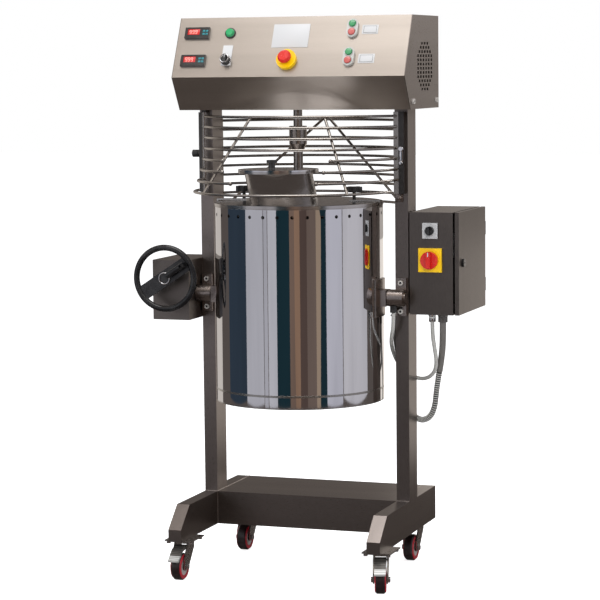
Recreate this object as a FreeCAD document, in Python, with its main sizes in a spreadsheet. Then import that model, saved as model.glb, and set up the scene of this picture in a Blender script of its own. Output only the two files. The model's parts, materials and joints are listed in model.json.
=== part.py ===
import FreeCAD, Part

import math
import os
import re

import Sketcher

# Driving dimensions in millimetres. X runs to the right, Y to the back, Z up.
# The origin is on the floor under the kettle's own axis.
SIZES = {
    # frame tubes and base
    "frame_width": 650, "tube_width": 40, "tube_depth": 80, "tube_wall": 2,
    "column_front": 38, "leg_height": 100, "castor_height": 119, "leg_front": 258,
    "leg_back": 313, "nose_run": 70, "nose_drop": 64, "sheet": 2,
    # control head
    "head_half_width": 358, "head_bottom": 1377, "crease_front": 100, "crease_height": 1474,
    "head_top": 1648, "head_top_setback": -18, "head_bottom_front": 41, "head_back": 250,
    "floor_plate": 3, "vent_wide": 15, "vent_high": 8, "vent_pitch_y": 27.4, "vent_pitch_z": 12.1,
    "vent_y": 105, "vent_z": 1500, "bolt_radius": 4, "bolt_head_radius": 7.5,
    "bolt_head_height": 6, "side_bolt_inset_z": 23, "side_bolt_front_y": -19,
    "side_bolt_back_y": 221,
    # operator panel, measured along the slope from its lower edge
    "controller_x": -296, "controller_wide": 77, "controller_high": 35, "bezel_proud": 8,
    "controller_deep": 60, "controller_rim": 3, "upper_row": 141, "lower_row": 52,
    "cutout_gap": 0.3, "lamp_x": -193, "lamp_radius": 15, "lamp_proud": 12,
    "device_hole_radius": 11, "selector_x": -193, "legend_wide": 30, "legend_high": 64,
    "selector_proud": 18, "selector_handle": 8, "stop_x": -4, "stop_collar_radius": 30,
    "stop_collar_proud": 12, "stop_neck_radius": 13, "mushroom_radius": 20,
    "mushroom_high": 16, "stop_travel": 4, "twin_x": 184, "twin_upper": 150, "twin_lower": 60, "twin_wide": 33, "twin_high": 58,
    "twin_proud": 8, "twin_button_radius": 10.5, "twin_button_offset": 13,
    "twin_button_proud": 3, "button_gap": 0.4,
    # mixer drive
    "shaft_radius": 13, "stirrer_radius": 14, "coupling_radius": 26, "coupling_top": 1329,
    "coupling_taper": 20, "coupling_bottom": 1257, "coupling_nose_radius": 17,
    "coupling_gap": 0.4, "running_gap": 0.05, "reducer_side": 72, "reducer_high": 110,
    "drive_engagement": 60, "motor_radius": 55, "motor_long": 170,
    # kettle
    "kettle_radius": 249, "kettle_bottom": 523, "band_high": 37, "jacket_top": 1096,
    "jacket_sheet": 2, "vent_hole_radius": 5, "vent_hole_drop": 21, "vent_hole_count": 36,
    "pot_radius": 215, "pot_wall": 3, "pot_bottom": 600, "pot_dish": 320,
    "pot_flange": 3, "element_radius": 7, "element_gap": 3,
    # stirrer
    "anchor_reach": 200, "anchor_bar": 25, "anchor_thick": 8, "anchor_bottom": 650,
    "anchor_shoulder": 700, "anchor_foot": 120, "anchor_top": 1000,
    "scraper_wide": 12, "scraper_thick": 6, "scraper_inset": 30,
    # lid and filling chute
    "lid_lip": 8, "lid_dome": 6, "lid_flat_radius": 70, "lid_overhang": 1,
    "chute_radius": 98, "chute_foot_y": -118, "chute_mouth_y": -172, "chute_top": 1200,
    "chute_flange_radius": 116, "chute_flange": 6, "chute_sheet": 2, "cover_thick": 4,
    "cover_gap": 0.3, "knob_radius": 15.5, "knob_neck_radius": 9.5, "knob_high": 25,
    "cover_knob_y": -150, "cover_knob_x": -28, "shaft_seal_radius": 22, "shaft_seal_high": 14,
    "shaft_seal_gap": 0.4,
    # lid clamps
    "clamp_x": 172, "clamp_wide": 22, "clamp_thick": 4, "clamp_rise": 8,
    "star_knob_radius": 25, "star_knob_high": 16, "clamp_stud_radius": 5, "clamp_stud_high": 26,
    # tilting bearings
    "tilt_height": 828, "trunnion_radius": 15, "pad_wide": 90, "pad_high": 110,
    "pad_thick": 6, "boss_side": 48, "boss_end": 274, "bush_radius": 20,
    "housing_radius": 25, "ring_start": 277, "ring_long": 46, "housing_long": 32, "housing_base": 12, "housing_base_high": 112,
    "housing_bolt_pitch": 84, "web_high": 44, "right_shaft_end": 328,
    # tilting gear
    "gear_case_wide": 116, "gear_case_front": 70, "gear_case_deep": 216,
    "gear_case_bottom": 753, "gear_case_high": 179, "wheel_x": 376, "gear_centres": 55,
    "worm_wheel_radius": 40, "worm_wheel_teeth": 40, "tooth_depth": 4.5, "tooth_addendum": 2,
    "worm_wheel_wide": 20, "worm_radius": 12.5, "worm_long": 60, "worm_shaft_radius": 8,
    "worm_shaft_back": 60, "left_shaft_end": 420, "handwheel_y": -130, "handwheel_radius": 100,
    "rim_radius": 9, "hub_radius": 18, "hub_long": 36, "web_wide": 44, "web_thick": 6,
    "web_turn": 33, "crank_reach": 74, "crank_radius": 9, "crank_long": 58,
    "crank_pivot_radius": 5, "crank_standoff": 16, "crank_slot": 7, "crank_lug": 6,
    # guard
    "rod_radius": 4, "cap_share": 1.5, "gate_bow_low": -325, "gate_bow_step": 27.55,
    "brace_back": 6, "brace_low_x": 217, "brace_high_x": 113, "leaf_x": 313,
    "rear_end_x": 292, "rear_end_back": 4.5, "rear_bar_thick": 6, "rear_bow": 146, "rear_brace_low": 270, "rear_brace_high": 12, "gate_bottom": 1140, "gate_pitch": 31, "gate_rods": 8,
    "hinge_x": 304, "hinge_y": 20, "stile_radius": 6.5, "pin_radius": 4, "gate_foot": 1131,
    "gate_head": 1369, "lug_high": 6, "gate_bar_wide": 15, "gate_bar_thick": 4,
    "gate_bar_x": 287, "rear_bottom": 1096, "rear_pitch": 27.3, "rear_rods": 10,
    "catch_wide": 15, "catch_gap": 1, "plunger_y": 60, "plunger_z": 1245,
    "plunger_body_radius": 9, "plunger_body_long": 14, "plunger_knob_radius": 11,
    "plunger_knob_long": 18, "plunger_pin_radius": 4,
    # switch cabinet
    "cabinet_gap": 5, "cabinet_wide": 131, "cabinet_deep": 300, "cabinet_high": 300,
    "cabinet_front": 34, "cabinet_top": 1077, "door_thick": 12, "door_gap": 6,
    "hinge_knuckle_radius": 4, "hinge_knuckle_long": 40, "hinge_knuckle_inset": 45,
    "door_hinge_x": 475, "door_hinge_y": 338.5, "lock_y": 77, "lock_z": 928,
    "lock_radius": 12, "lock_proud": 6, "main_switch_x": 393, "main_switch_z": 937.5,
    "main_plate_side": 70, "main_plate_thick": 6, "main_knob_radius": 26,
    "main_knob_proud": 22, "small_switch_z": 1023.5, "small_plate_side": 46,
    "small_plate_thick": 5, "small_knob_radius": 13, "small_knob_proud": 18,
    "knob_gap": 0.4, "back_plate_inset": 14, "contactor_wide": 45, "contactor_high": 75,
    "contactor_deep": 70,
    # glands and conduits
    "gland_y": 70, "small_gland_x": 388, "large_gland_x": 420, "small_gland_radius": 10,
    "large_gland_radius": 14, "gland_long": 24, "small_conduit_radius": 6,
    "large_conduit_radius": 10, "bearing_gland_x": 290, "bearing_gland_y": 0,
    "bracket_y": 92, "bracket_z": 766, "bracket_thick": 4, "bracket_wide": 36,
    "bracket_reach": 27,
    # castors
    "castor_plate_long": 100, "castor_plate_wide": 86, "castor_plate_thick": 4,
    "front_castor_x": 305, "front_castor_y": -183, "rear_castor_x": 271, "rear_castor_y": 270,
    "castor_trail": 38, "castor_radius": 40, "tread_wide": 32, "hub_wheel_radius": 27,
    "axle_radius": 5, "fork_gap": 2, "fork_thick": 4, "crown_radius": 25, "crown_high": 10,
    "swivel_gap": 0.3, "pedal_gap": 1.5, "pedal_pin_radius": 3, "pedal_pin_y": -24,
    "pedal_pin_z": 96,
}

doc = FreeCAD.newDocument("cream_cooker")
sheet = doc.addObject("Spreadsheet::Sheet", "Sizes")
nodes = []
switch_plates = []
V = FreeCAD.Vector
TURNS = {
    "X": FreeCAD.Rotation(V(0, 1, 0), 90),
    "Y": FreeCAD.Rotation(V(1, 0, 0), -90),
    "Z": FreeCAD.Rotation(),
}


def fill_sheet():
    """Write each driving dimension into its own named cell."""
    for row, (alias, value) in enumerate(SIZES.items(), start=1):
        sheet.set(f"A{row}", alias)
        sheet.set(f"B{row}", str(value))
        sheet.setAlias(f"B{row}", alias)
    doc.recompute()


def formula(text):
    """Turn a formula in plain names into one that reads the sheet."""
    return re.sub(r"[a-z]+_[a-z_]*[a-z]|\bsheet\b", lambda word: f"Sizes.{word.group(0)}", str(text))


def number(text):
    """The present value of a formula."""
    return float(sheet.evalExpression(formula(text)))


def place(obj, at, turn=None):
    """Bind an object's position to the sheet and give it its turn."""
    if turn is not None:
        obj.Placement = FreeCAD.Placement(V(), turn)
    for axis, text in zip("xyz", at):
        obj.setExpression(f"Placement.Base.{axis}", formula(text))
    return obj


def block(name, size, at, turn=None):
    """A box with its lowest corner at a place."""
    obj = doc.addObject("Part::Box", name)
    for side, text in zip(("Length", "Width", "Height"), size):
        obj.setExpression(side, formula(text))
    return place(obj, at, turn)


def cylinder(name, radius, height, at, along="Z"):
    """A cylinder that starts at a place and runs along an axis."""
    obj = doc.addObject("Part::Cylinder", name)
    obj.setExpression("Radius", formula(radius))
    obj.setExpression("Height", formula(height))
    return place(obj, at, TURNS[along] if isinstance(along, str) else along)


def cone(name, low_radius, high_radius, height, at, along="Z"):
    """A cone frustum that starts at a place and runs along an axis."""
    obj = doc.addObject("Part::Cone", name)
    obj.setExpression("Radius1", formula(low_radius))
    obj.setExpression("Radius2", formula(high_radius))
    obj.setExpression("Height", formula(height))
    return place(obj, at, TURNS[along] if isinstance(along, str) else along)


def fuse(name, *pieces):
    """Join pieces into one."""
    obj = doc.addObject("Part::MultiFuse", name)
    obj.Shapes = list(pieces)
    obj.Refine = True
    return obj


def cut(name, base, *tools):
    """Take tools away from a base."""
    obj = doc.addObject("Part::Cut", name)
    obj.Base = base
    obj.Tool = tools[0] if len(tools) == 1 else gather(f"{name}_tools", *tools)
    return obj


def gather(name, *pieces):
    """Hold separate solids together as one object."""
    obj = doc.addObject("Part::Compound", name)
    obj.Links = list(pieces)
    return obj


def shaped(name, shape):
    """An object with a shape made by its own function."""
    obj = doc.addObject("Part::Feature", name)
    obj.Shape = shape
    return obj


def node(name, obj):
    """Name an object as a sub-part to be written."""
    obj.Label = name
    nodes.append(obj)
    return obj


def origin_plane(body, role):
    """A body's own origin plane."""
    return [item for item in body.Origin.OriginFeatures if item.Role == role][0]


def polygon_sketch(body, role, corners):
    """A closed sketch whose corners are bound to the sheet."""
    sketch = body.newObject("Sketcher::SketchObject", f"{body.Name}_sketch")
    sketch.AttachmentSupport = (origin_plane(body, role), [""])
    sketch.MapMode = "FlatFace"
    points = [V(number(u), number(v), 0) for u, v in corners]
    count = len(points)
    for index in range(count):
        sketch.addGeometry(Part.LineSegment(points[index], points[(index + 1) % count]), False)
    for index in range(count):
        sketch.addConstraint(Sketcher.Constraint("Coincident", index, 2, (index + 1) % count, 1))
    for index, pair in enumerate(corners):
        for kind, text, value in zip(("DistanceX", "DistanceY"), pair, points[index]):
            item = sketch.addConstraint(Sketcher.Constraint(kind, -1, 1, index, 1, value))
            sketch.setExpression(f"Constraints[{item}]", formula(text))
    return sketch


def padded(name, role, corners, length, at, midplane=False):
    """A profile pushed out along its plane's normal."""
    body = doc.addObject("PartDesign::Body", name)
    sketch = polygon_sketch(body, role, corners)
    pad = body.newObject("PartDesign::Pad", f"{name}_pad")
    pad.Profile = sketch
    pad.setExpression("Length", formula(length))
    pad.Midplane = midplane
    body.Tip = pad
    return place(body, at)


def turned(name, corners, at=("0", "0", "0")):
    """A profile in radius and height turned round the vertical axis."""
    body = doc.addObject("PartDesign::Body", name)
    sketch = polygon_sketch(body, "XZ_Plane", corners)
    turn = body.newObject("PartDesign::Revolution", f"{name}_turn")
    turn.Profile = sketch
    turn.ReferenceAxis = (sketch, ["V_Axis"])
    turn.Angle = 360
    body.Tip = turn
    return place(body, at)


def rounded_wire(points, radii):
    """Straight runs joined by tangent arcs, with each corner's radius."""
    edges = []
    start = points[0]
    for index in range(1, len(points) - 1):
        corner = points[index]
        back = (points[index - 1] - corner).normalize()
        ahead = (points[index + 1] - corner).normalize()
        half = (math.pi - back.getAngle(ahead)) / 2
        reach = radii[index - 1] * math.tan(half)
        middle = (back + ahead).normalize() * (radii[index - 1] * (1 / math.cos(half) - 1))
        first = corner + back * reach
        last = corner + ahead * reach
        edges.append(Part.LineSegment(start, first).toShape())
        edges.append(Part.Arc(first, corner + middle, last).toShape())
        start = last
    edges.append(Part.LineSegment(start, points[-1]).toShape())
    return Part.Wire(edges)


def tube(wire, radius):
    """A round bar along a wire."""
    edge = wire.Edges[0]
    section = Part.Circle(edge.valueAt(edge.FirstParameter), edge.tangentAt(edge.FirstParameter), radius)
    sweep = Part.BRepOffsetAPI.MakePipeShell(wire)
    sweep.add(Part.Wire([section.toShape()]))
    sweep.build()
    sweep.makeSolid()
    return sweep.shape()


# FRAME

LEG_PROFILE = (
    ("-leg_front", "castor_height"),
    ("leg_back", "castor_height"),
    ("leg_back", "castor_height + leg_height"),
    ("-leg_front + nose_run", "castor_height + leg_height"),
    ("-leg_front", "castor_height + leg_height - nose_drop"),
)
LEG_HOLLOW = (
    ("-leg_front + tube_wall", "castor_height + tube_wall"),
    ("leg_back - tube_wall", "castor_height + tube_wall"),
    ("leg_back - tube_wall", "castor_height + leg_height - tube_wall"),
    ("-leg_front + nose_run + tube_wall", "castor_height + leg_height - tube_wall"),
    ("-leg_front + tube_wall", "castor_height + leg_height - nose_drop - tube_wall"),
)
CASTORS = {
    "front_left": ("-front_castor_x", "front_castor_y", 0),
    "front_right": ("front_castor_x", "front_castor_y", 15),
    "rear_left": ("-rear_castor_x", "rear_castor_y", 0),
    "rear_right": ("rear_castor_x", "rear_castor_y", 0),
}
LEG_TOP = "castor_height + leg_height"
SLOPE = math.degrees(math.atan2(
    SIZES["head_top"] - SIZES["crease_height"],
    SIZES["head_top_setback"] + SIZES["crease_front"],
))


def make_legs():
    """Two closed tubes with raked noses, and the plates that the castors bolt to."""
    pieces = []
    for side, start in (("left", "-frame_width / 2"), ("right", "frame_width / 2 - tube_width")):
        outer = padded(f"{side}_leg_outer", "YZ_Plane", LEG_PROFILE, "tube_width", (start, "0", "0"))
        inner = padded(f"{side}_leg_inner", "YZ_Plane", LEG_HOLLOW, "tube_width - 2 * tube_wall",
                       (f"{start} + tube_wall", "0", "0"))
        pieces.append(cut(f"{side}_leg_tube", outer, inner))
    node("legs", gather("legs_group", *pieces))


def make_castor_plates():
    """The flat plates under the legs and the tray that carry the castors."""
    plates = []
    for name, (x, y, _) in CASTORS.items():
        at = (f"{x} - castor_plate_wide / 2", f"{y} - castor_plate_long / 2",
              "castor_height - castor_plate_thick")
        plates.append(block(f"{name}_plate", ("castor_plate_wide", "castor_plate_long",
                                              "castor_plate_thick"), at))
    node("castor_plates", gather("castor_plates_group", *plates))


def make_base_tray():
    """The folded sheet tray between the legs, open underneath."""
    half = "frame_width / 2 - tube_width"
    outer = block("tray_outer", (f"2 * ({half})", "leg_back - column_front", "leg_height"),
                  (f"-({half})", "column_front", "castor_height"))
    inner = block("tray_inner", (f"2 * ({half}) - 2 * sheet", "leg_back - column_front - 2 * sheet",
                                 "leg_height"),
                  (f"-({half}) + sheet", "column_front + sheet", "castor_height - sheet"))
    node("base_tray", cut("tray_cut", outer, inner))


def make_columns():
    """Two upright rectangular tubes from the legs to the head."""
    pieces = []
    for side, start in (("left", "-frame_width / 2"), ("right", "frame_width / 2 - tube_width")):
        outer = block(f"{side}_column_outer", ("tube_width", "tube_depth", f"head_bottom - ({LEG_TOP})"),
                      (start, "column_front", LEG_TOP))
        inner = block(f"{side}_column_inner",
                      ("tube_width - 2 * tube_wall", "tube_depth - 2 * tube_wall",
                       f"head_bottom - ({LEG_TOP}) + 2 * tube_wall"),
                      (f"{start} + tube_wall", "column_front + tube_wall", f"{LEG_TOP} - tube_wall"))
        pieces.append(cut(f"{side}_column_tube", outer, inner))
    node("columns", gather("columns_group", *pieces))


# CONTROL HEAD

HEAD_PROFILE = (
    ("-crease_front", "crease_height"),
    ("-head_bottom_front", "head_bottom"),
    ("head_back", "head_bottom"),
    ("head_back", "head_top"),
    ("head_top_setback", "head_top"),
)


def panel_place(obj, x, along, out, spin="Z"):
    """Seat an object on the sloped panel, its height axis standing out of the panel."""
    turn = FreeCAD.Rotation(V(1, 0, 0), SLOPE)
    rise = "(head_top - crease_height)"
    run = "(head_top_setback + crease_front)"
    length = f"sqrt({rise} ^ 2 + {run} ^ 2)"
    y = f"-crease_front + (({along}) * {run} - ({out}) * {rise}) / {length}"
    z = f"crease_height + (({along}) * {rise} + ({out}) * {run}) / {length}"
    return place(obj, (x, y, z), turn * TURNS[spin])


def panel_block(name, size, x, along, out):
    """A box centred on a point of the panel."""
    obj = block(name, size, ("0", "0", "0"))
    return panel_place(obj, f"{x} - ({size[0]}) / 2", f"{along} - ({size[1]}) / 2", out)


def panel_cylinder(name, radius, height, x, along, out):
    """A cylinder that stands out of the panel."""
    return panel_place(cylinder(name, radius, height, ("0", "0", "0")), x, along, out)


PANEL_HOLES = {
    "lamp": ("lamp_x", "upper_row"),
    "selector": ("selector_x", "lower_row"),
    "stop": ("stop_x", "lower_row"),
    "upper_twin_top": ("twin_x", "twin_upper + twin_button_offset"),
    "upper_twin_low": ("twin_x", "twin_upper - twin_button_offset"),
    "lower_twin_top": ("twin_x", "twin_lower + twin_button_offset"),
    "lower_twin_low": ("twin_x", "twin_lower - twin_button_offset"),
}


def inset_profile(corners, wall):
    """The inner outline of a folded shell, each side moved in by the wall."""
    points = [V(number(u), number(v), 0) for u, v in corners]
    face = Part.Face(Part.makePolygon(points + points[:1]))
    return face.makeOffset2D(-wall)


def make_head_shell():
    """The folded cover: two front slopes, top and back, with the panel's cut-outs."""
    half = "(head_half_width - sheet)"
    outer = padded("head_outer", "YZ_Plane", HEAD_PROFILE, f"2 * {half}", (f"-{half}", "0", "0"))
    wall = number("sheet")
    inner_face = inset_profile(HEAD_PROFILE, wall)
    turn = FreeCAD.Placement(V(-number(half) - wall, 0, 0), FreeCAD.Rotation(V(1, 1, 1), 120))
    inner_face.Placement = turn.multiply(inner_face.Placement)
    hollow = inner_face.extrude(V(2 * number(half) + 2 * wall, 0, 0))
    under = Part.makeBox(2 * number(half) + 2 * wall,
                         number("head_back + head_bottom_front - 4 * sheet"), 4 * wall,
                         V(-number(half) - wall, number("-head_bottom_front + 2 * sheet"),
                           number("head_bottom - sheet")))
    inner = shaped("head_hollow", hollow.fuse(under))
    tools = [inner]
    for key, row in (("upper", "upper_row"), ("lower", "lower_row")):
        size = ("controller_wide - 2 * controller_rim + 2 * cutout_gap",
                "controller_high - 2 * controller_rim + 2 * cutout_gap", "6 * sheet")
        tools.append(panel_block(f"{key}_cutout", size, "controller_x", row, "-3 * sheet"))
    for key, (x, row) in PANEL_HOLES.items():
        tools.append(panel_cylinder(f"{key}_hole", "device_hole_radius", "6 * sheet", x, row,
                                    "-3 * sheet"))
    node("head_shell", cut("head_shell_cut", outer, *tools))


def vent_slots():
    """The rows of vent slots, fewer towards the top and bottom."""
    rows = (3, 4, 5, 6, 6, 6, 6, 6, 6, 5, 4, 3)
    slots = []
    for row, count in enumerate(rows):
        for column in range(count):
            y = f"vent_y + ({column} - ({count} - 1) / 2) * vent_pitch_y - vent_wide / 2"
            z = f"vent_z + ({row} - ({len(rows)} - 1) / 2) * vent_pitch_z - vent_high / 2"
            slots.append(block(f"slot_{row}_{column}", ("3 * sheet", "vent_wide", "vent_high"),
                               ("head_half_width - 2 * sheet", y, z)))
    return slots


def side_bolt_places():
    """Where the bolts pass the head's side plates: side, height along Y, and Z."""
    z = "head_bottom + side_bolt_inset_z"
    return [(side, y, z) for side in (-1, 1) for y in ("side_bolt_front_y", "side_bolt_back_y")]


def make_head_sides():
    """The two side plates, the right one with its vent."""
    holes = {-1: [], 1: vent_slots()}
    for index, (side, y, z) in enumerate(side_bolt_places()):
        start = f"{side} * head_half_width - 2 * sheet"
        holes[side].append(cylinder(f"side_hole_{index}", "bolt_radius + cutout_gap", "4 * sheet",
                                    (start, y, z), "X"))
    plates = []
    for side, name, start in ((-1, "left", "-head_half_width"), (1, "right", "head_half_width - sheet")):
        plate = padded(f"head_{name}_plate", "YZ_Plane", HEAD_PROFILE, "sheet", (start, "0", "0"))
        plates.append(cut(f"head_{name}_cut", plate, *holes[side]))
    node("head_sides", gather("head_sides_group", *plates))


def make_head_floor():
    """The plate that closes the head and carries the drive."""
    plate = block("floor_blank", ("2 * (head_half_width - sheet)",
                                  "head_back + head_bottom_front - 5 * sheet - cutout_gap",
                                  "floor_plate"),
                  ("-(head_half_width - sheet)", "-head_bottom_front + 3 * sheet", "head_bottom"))
    hole = cylinder("floor_hole", "shaft_radius + fork_gap", "3 * floor_plate",
                    ("0", "0", "head_bottom - floor_plate"))
    node("head_floor", cut("head_floor_cut", plate, hole))


def bolt(name, at, along, shank):
    """A round-headed bolt: its head outside a face and its shank inside."""
    turn = {"out": FreeCAD.Rotation(V(0, 1, 0), 90 * along[0])} if along[0] else {
        "out": FreeCAD.Rotation(V(1, 0, 0), -90 * along[1])}
    head = cylinder(f"{name}_head", "bolt_head_radius", "bolt_head_height", at, turn["out"])
    back = [f"{place_text} - {direction} * ({shank})" for place_text, direction in zip(at, along)]
    body = cylinder(f"{name}_shank", "bolt_radius", shank, back, turn["out"])
    return fuse(name, head, body)


def make_fasteners():
    """The bolts of the head's sides and of the bearing blocks."""
    pieces = []
    for index, (side, y, z) in enumerate(side_bolt_places()):
        pieces.append(bolt(f"side_bolt_{index}", (f"{side} * head_half_width", y, z), (side, 0, 0),
                           "2 * sheet"))
    for side in (-1, 1):
        for up in (-1, 1):
            at = (f"{side} * (frame_width / 2 - tube_width / 2)", "column_front - housing_base",
                  f"tilt_height + {up} * housing_bolt_pitch / 2")
            pieces.append(bolt(f"bearing_bolt_{side}_{up}".replace("-", "m"), at, (0, -1, 0),
                               "housing_base"))
    node("frame_bolts", gather("frame_bolts_group", *pieces))


def make_controllers():
    """Two temperature controllers: a bezel with a sunken window and a body behind."""
    pieces = []
    for key, row in (("upper", "upper_row"), ("lower", "lower_row")):
        bezel = panel_block(f"{key}_bezel", ("controller_wide", "controller_high", "bezel_proud"),
                            "controller_x", row, "0")
        body = panel_block(f"{key}_body", ("controller_wide - 2 * controller_rim",
                                           "controller_high - 2 * controller_rim",
                                           "controller_deep"),
                           "controller_x", row, "-controller_deep")
        window = panel_block(f"{key}_window", ("controller_wide * 0.5", "controller_high * 0.55",
                                               "bezel_proud"),
                             "controller_x - controller_wide * 0.14", f"{row} + controller_rim",
                             "bezel_proud * 0.7")
        pieces.append(cut(f"{key}_controller", fuse(f"{key}_controller_blank", bezel, body), window))
    node("temperature_controllers", gather("controllers_group", *pieces))


def make_lamp():
    """The round indicator lamp with its stem through the panel."""
    lens = panel_place(cone("lamp_lens", "lamp_radius", "lamp_radius * 0.7", "lamp_proud",
                            ("0", "0", "0")), "lamp_x", "upper_row", "0")
    stem = panel_cylinder("lamp_stem", "device_hole_radius - cutout_gap", "controller_deep / 2",
                          "lamp_x", "upper_row", "-controller_deep / 2")
    node("indicator_lamp", fuse("lamp_fuse", lens, stem))


def make_selector():
    """The selector switch: a legend plate, and a knob with a raised handle."""
    plate = panel_block("legend_blank", ("legend_wide", "legend_high", "sheet"), "selector_x",
                        "lower_row + legend_high / 2 - legend_wide / 2", "0")
    hole = panel_cylinder("legend_hole", "device_hole_radius", "3 * sheet", "selector_x",
                          "lower_row", "-sheet")
    switch_plates.append(cut("legend_cut", plate, hole))
    base = panel_cylinder("selector_base", "legend_wide / 2", "selector_proud / 2", "selector_x",
                          "lower_row", "sheet + knob_gap")
    stem = panel_cylinder("selector_stem", "device_hole_radius - cutout_gap",
                          "controller_deep / 2 + sheet + 2 * knob_gap", "selector_x", "lower_row",
                          "-controller_deep / 2")
    handle = panel_block("selector_handle", ("selector_handle", "legend_wide", "selector_proud / 2"),
                         "selector_x", "lower_row", "sheet + selector_proud / 2")
    node("selector_knob", fuse("selector_fuse", base, stem, handle))


def make_stop():
    """The emergency stop: a yellow collar and a mushroom button on a neck."""
    collar = panel_cylinder("collar_blank", "stop_collar_radius", "stop_collar_proud", "stop_x",
                            "lower_row", "0")
    bore = panel_cylinder("collar_bore", "stop_neck_radius + button_gap", "2 * stop_collar_proud",
                          "stop_x", "lower_row", "-stop_collar_proud / 2")
    switch_plates.append(cut("collar_cut", collar, bore))
    neck = panel_cylinder("stop_neck", "stop_neck_radius", "stop_collar_proud", "stop_x",
                          "lower_row", "stop_travel + sheet")
    stem = panel_cylinder("stop_stem", "device_hole_radius - button_gap",
                          "controller_deep / 2 + 2 * stop_travel", "stop_x", "lower_row",
                          "-controller_deep / 2")
    head_low = panel_place(cone("mushroom_low", "stop_neck_radius", "mushroom_radius",
                                "mushroom_high / 3", ("0", "0", "0")),
                           "stop_x", "lower_row", "stop_collar_proud + stop_travel + sheet")
    head_mid = panel_cylinder("mushroom_mid", "mushroom_radius", "mushroom_high / 3", "stop_x",
                              "lower_row",
                              "stop_collar_proud + stop_travel + sheet + mushroom_high / 3")
    head_top = panel_place(cone("mushroom_top", "mushroom_radius", "mushroom_radius * 0.75",
                                "mushroom_high / 3", ("0", "0", "0")), "stop_x", "lower_row",
                           "stop_collar_proud + stop_travel + sheet + mushroom_high * 2 / 3")
    node("stop_button", fuse("stop_fuse", neck, stem, head_low, head_mid, head_top))


def make_twin_buttons():
    """Two oval housings, each with a start button above a stop button."""
    housings = []
    for key, row in (("upper", "twin_upper"), ("lower", "twin_lower")):
        middle = panel_block(f"{key}_twin_middle", ("twin_wide", "twin_high - twin_wide",
                                                    "twin_proud"), "twin_x", row, "0")
        ends = [panel_cylinder(f"{key}_twin_end_{name}", "twin_wide / 2", "twin_proud", "twin_x",
                               f"{row} + {sign} * (twin_high - twin_wide) / 2", "0")
                for name, sign in (("top", 1), ("low", -1))]
        blank = fuse(f"{key}_twin_blank", middle, *ends)
        bores = [panel_cylinder(f"{key}_twin_bore_{name}", "twin_button_radius + button_gap",
                                "3 * twin_proud", "twin_x", f"{row} + {sign} * twin_button_offset",
                                "-twin_proud") for name, sign in (("top", 1), ("low", -1))]
        housings.append(cut(f"{key}_twin_housing", blank, *bores))
        for name, sign in (("start", 1), ("stop", -1)):
            button = panel_cylinder(f"{key}_{name}_blank", "twin_button_radius",
                                    "twin_proud + twin_button_proud + 2 * sheet", "twin_x",
                                    f"{row} + {sign} * twin_button_offset", "-2 * sheet")
            node(f"{key}_{name}_button", button)
    node("button_housings", gather("housings_group", *housings))


# MIXER DRIVE

def make_drive():
    """The gear motor in the head, and the driven shaft with its coupling."""
    base = "head_bottom + floor_plate"
    box = block("reducer_block", ("reducer_side", "reducer_side", "reducer_high"),
                ("-reducer_side / 2", "-reducer_side / 2", base))
    bore = cylinder("reducer_bore", "shaft_radius + running_gap", "drive_engagement + 2 * floor_plate",
                    ("0", "0", f"{base} - floor_plate"))
    motor = cylinder("motor_can", "motor_radius", "motor_long",
                     ("0", "reducer_side / 2", f"{base} + reducer_high / 2 + sheet"), "Y")
    node("gear_motor", gather("gear_motor_group", cut("reducer_cut", box, bore), motor))
    shaft = cylinder("drive_shaft_bar", "shaft_radius",
                     f"{base} + drive_engagement - coupling_top", ("0", "0", "coupling_top"))
    body = cylinder("coupling_body", "coupling_radius",
                    "coupling_top - coupling_bottom - coupling_taper",
                    ("0", "0", "coupling_bottom + coupling_taper"))
    nose = cone("coupling_nose", "coupling_nose_radius", "coupling_radius", "coupling_taper",
                ("0", "0", "coupling_bottom"))
    node("drive_shaft", fuse("drive_shaft_fuse", shaft, body, nose))


def make_stirrer():
    """The stirrer: a shaft, an anchor that follows the pot, and two scraper strips."""
    shaft = cylinder("stirrer_shaft", "stirrer_radius", "coupling_bottom - coupling_gap - anchor_bottom",
                     ("0", "0", "anchor_bottom"))
    reach = ("anchor_reach", "anchor_shoulder", "anchor_foot", "anchor_bottom")
    anchor = padded("anchor_bar_body", "XZ_Plane", (
        (f"-{reach[0]}", "anchor_top"), (f"-{reach[0]}", reach[1]), (f"-{reach[2]}", reach[3]),
        (reach[2], reach[3]), (reach[0], reach[1]), (reach[0], "anchor_top"),
        ("anchor_reach - anchor_bar", "anchor_top"),
        ("anchor_reach - anchor_bar", "anchor_shoulder + anchor_bar / 2"),
        ("anchor_foot - anchor_bar / 3", "anchor_bottom + anchor_bar"),
        ("-anchor_foot + anchor_bar / 3", "anchor_bottom + anchor_bar"),
        ("-anchor_reach + anchor_bar", "anchor_shoulder + anchor_bar / 2"),
        ("-anchor_reach + anchor_bar", "anchor_top"),
    ), "anchor_thick", ("0", "0", "0"), midplane=True)
    bar = fuse("stirrer_frame", shaft, anchor)
    strips = [block(f"scraper_{name}", ("scraper_wide", "scraper_thick",
                                        "anchor_top - anchor_shoulder - 2 * scraper_inset"),
                    (start, "-scraper_thick / 2", "anchor_shoulder + scraper_inset"))
              for name, start in (("right", "anchor_reach"), ("left", "-anchor_reach - scraper_wide"))]
    node("stirrer", gather("stirrer_group", bar, *strips))


# KETTLE

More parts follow.
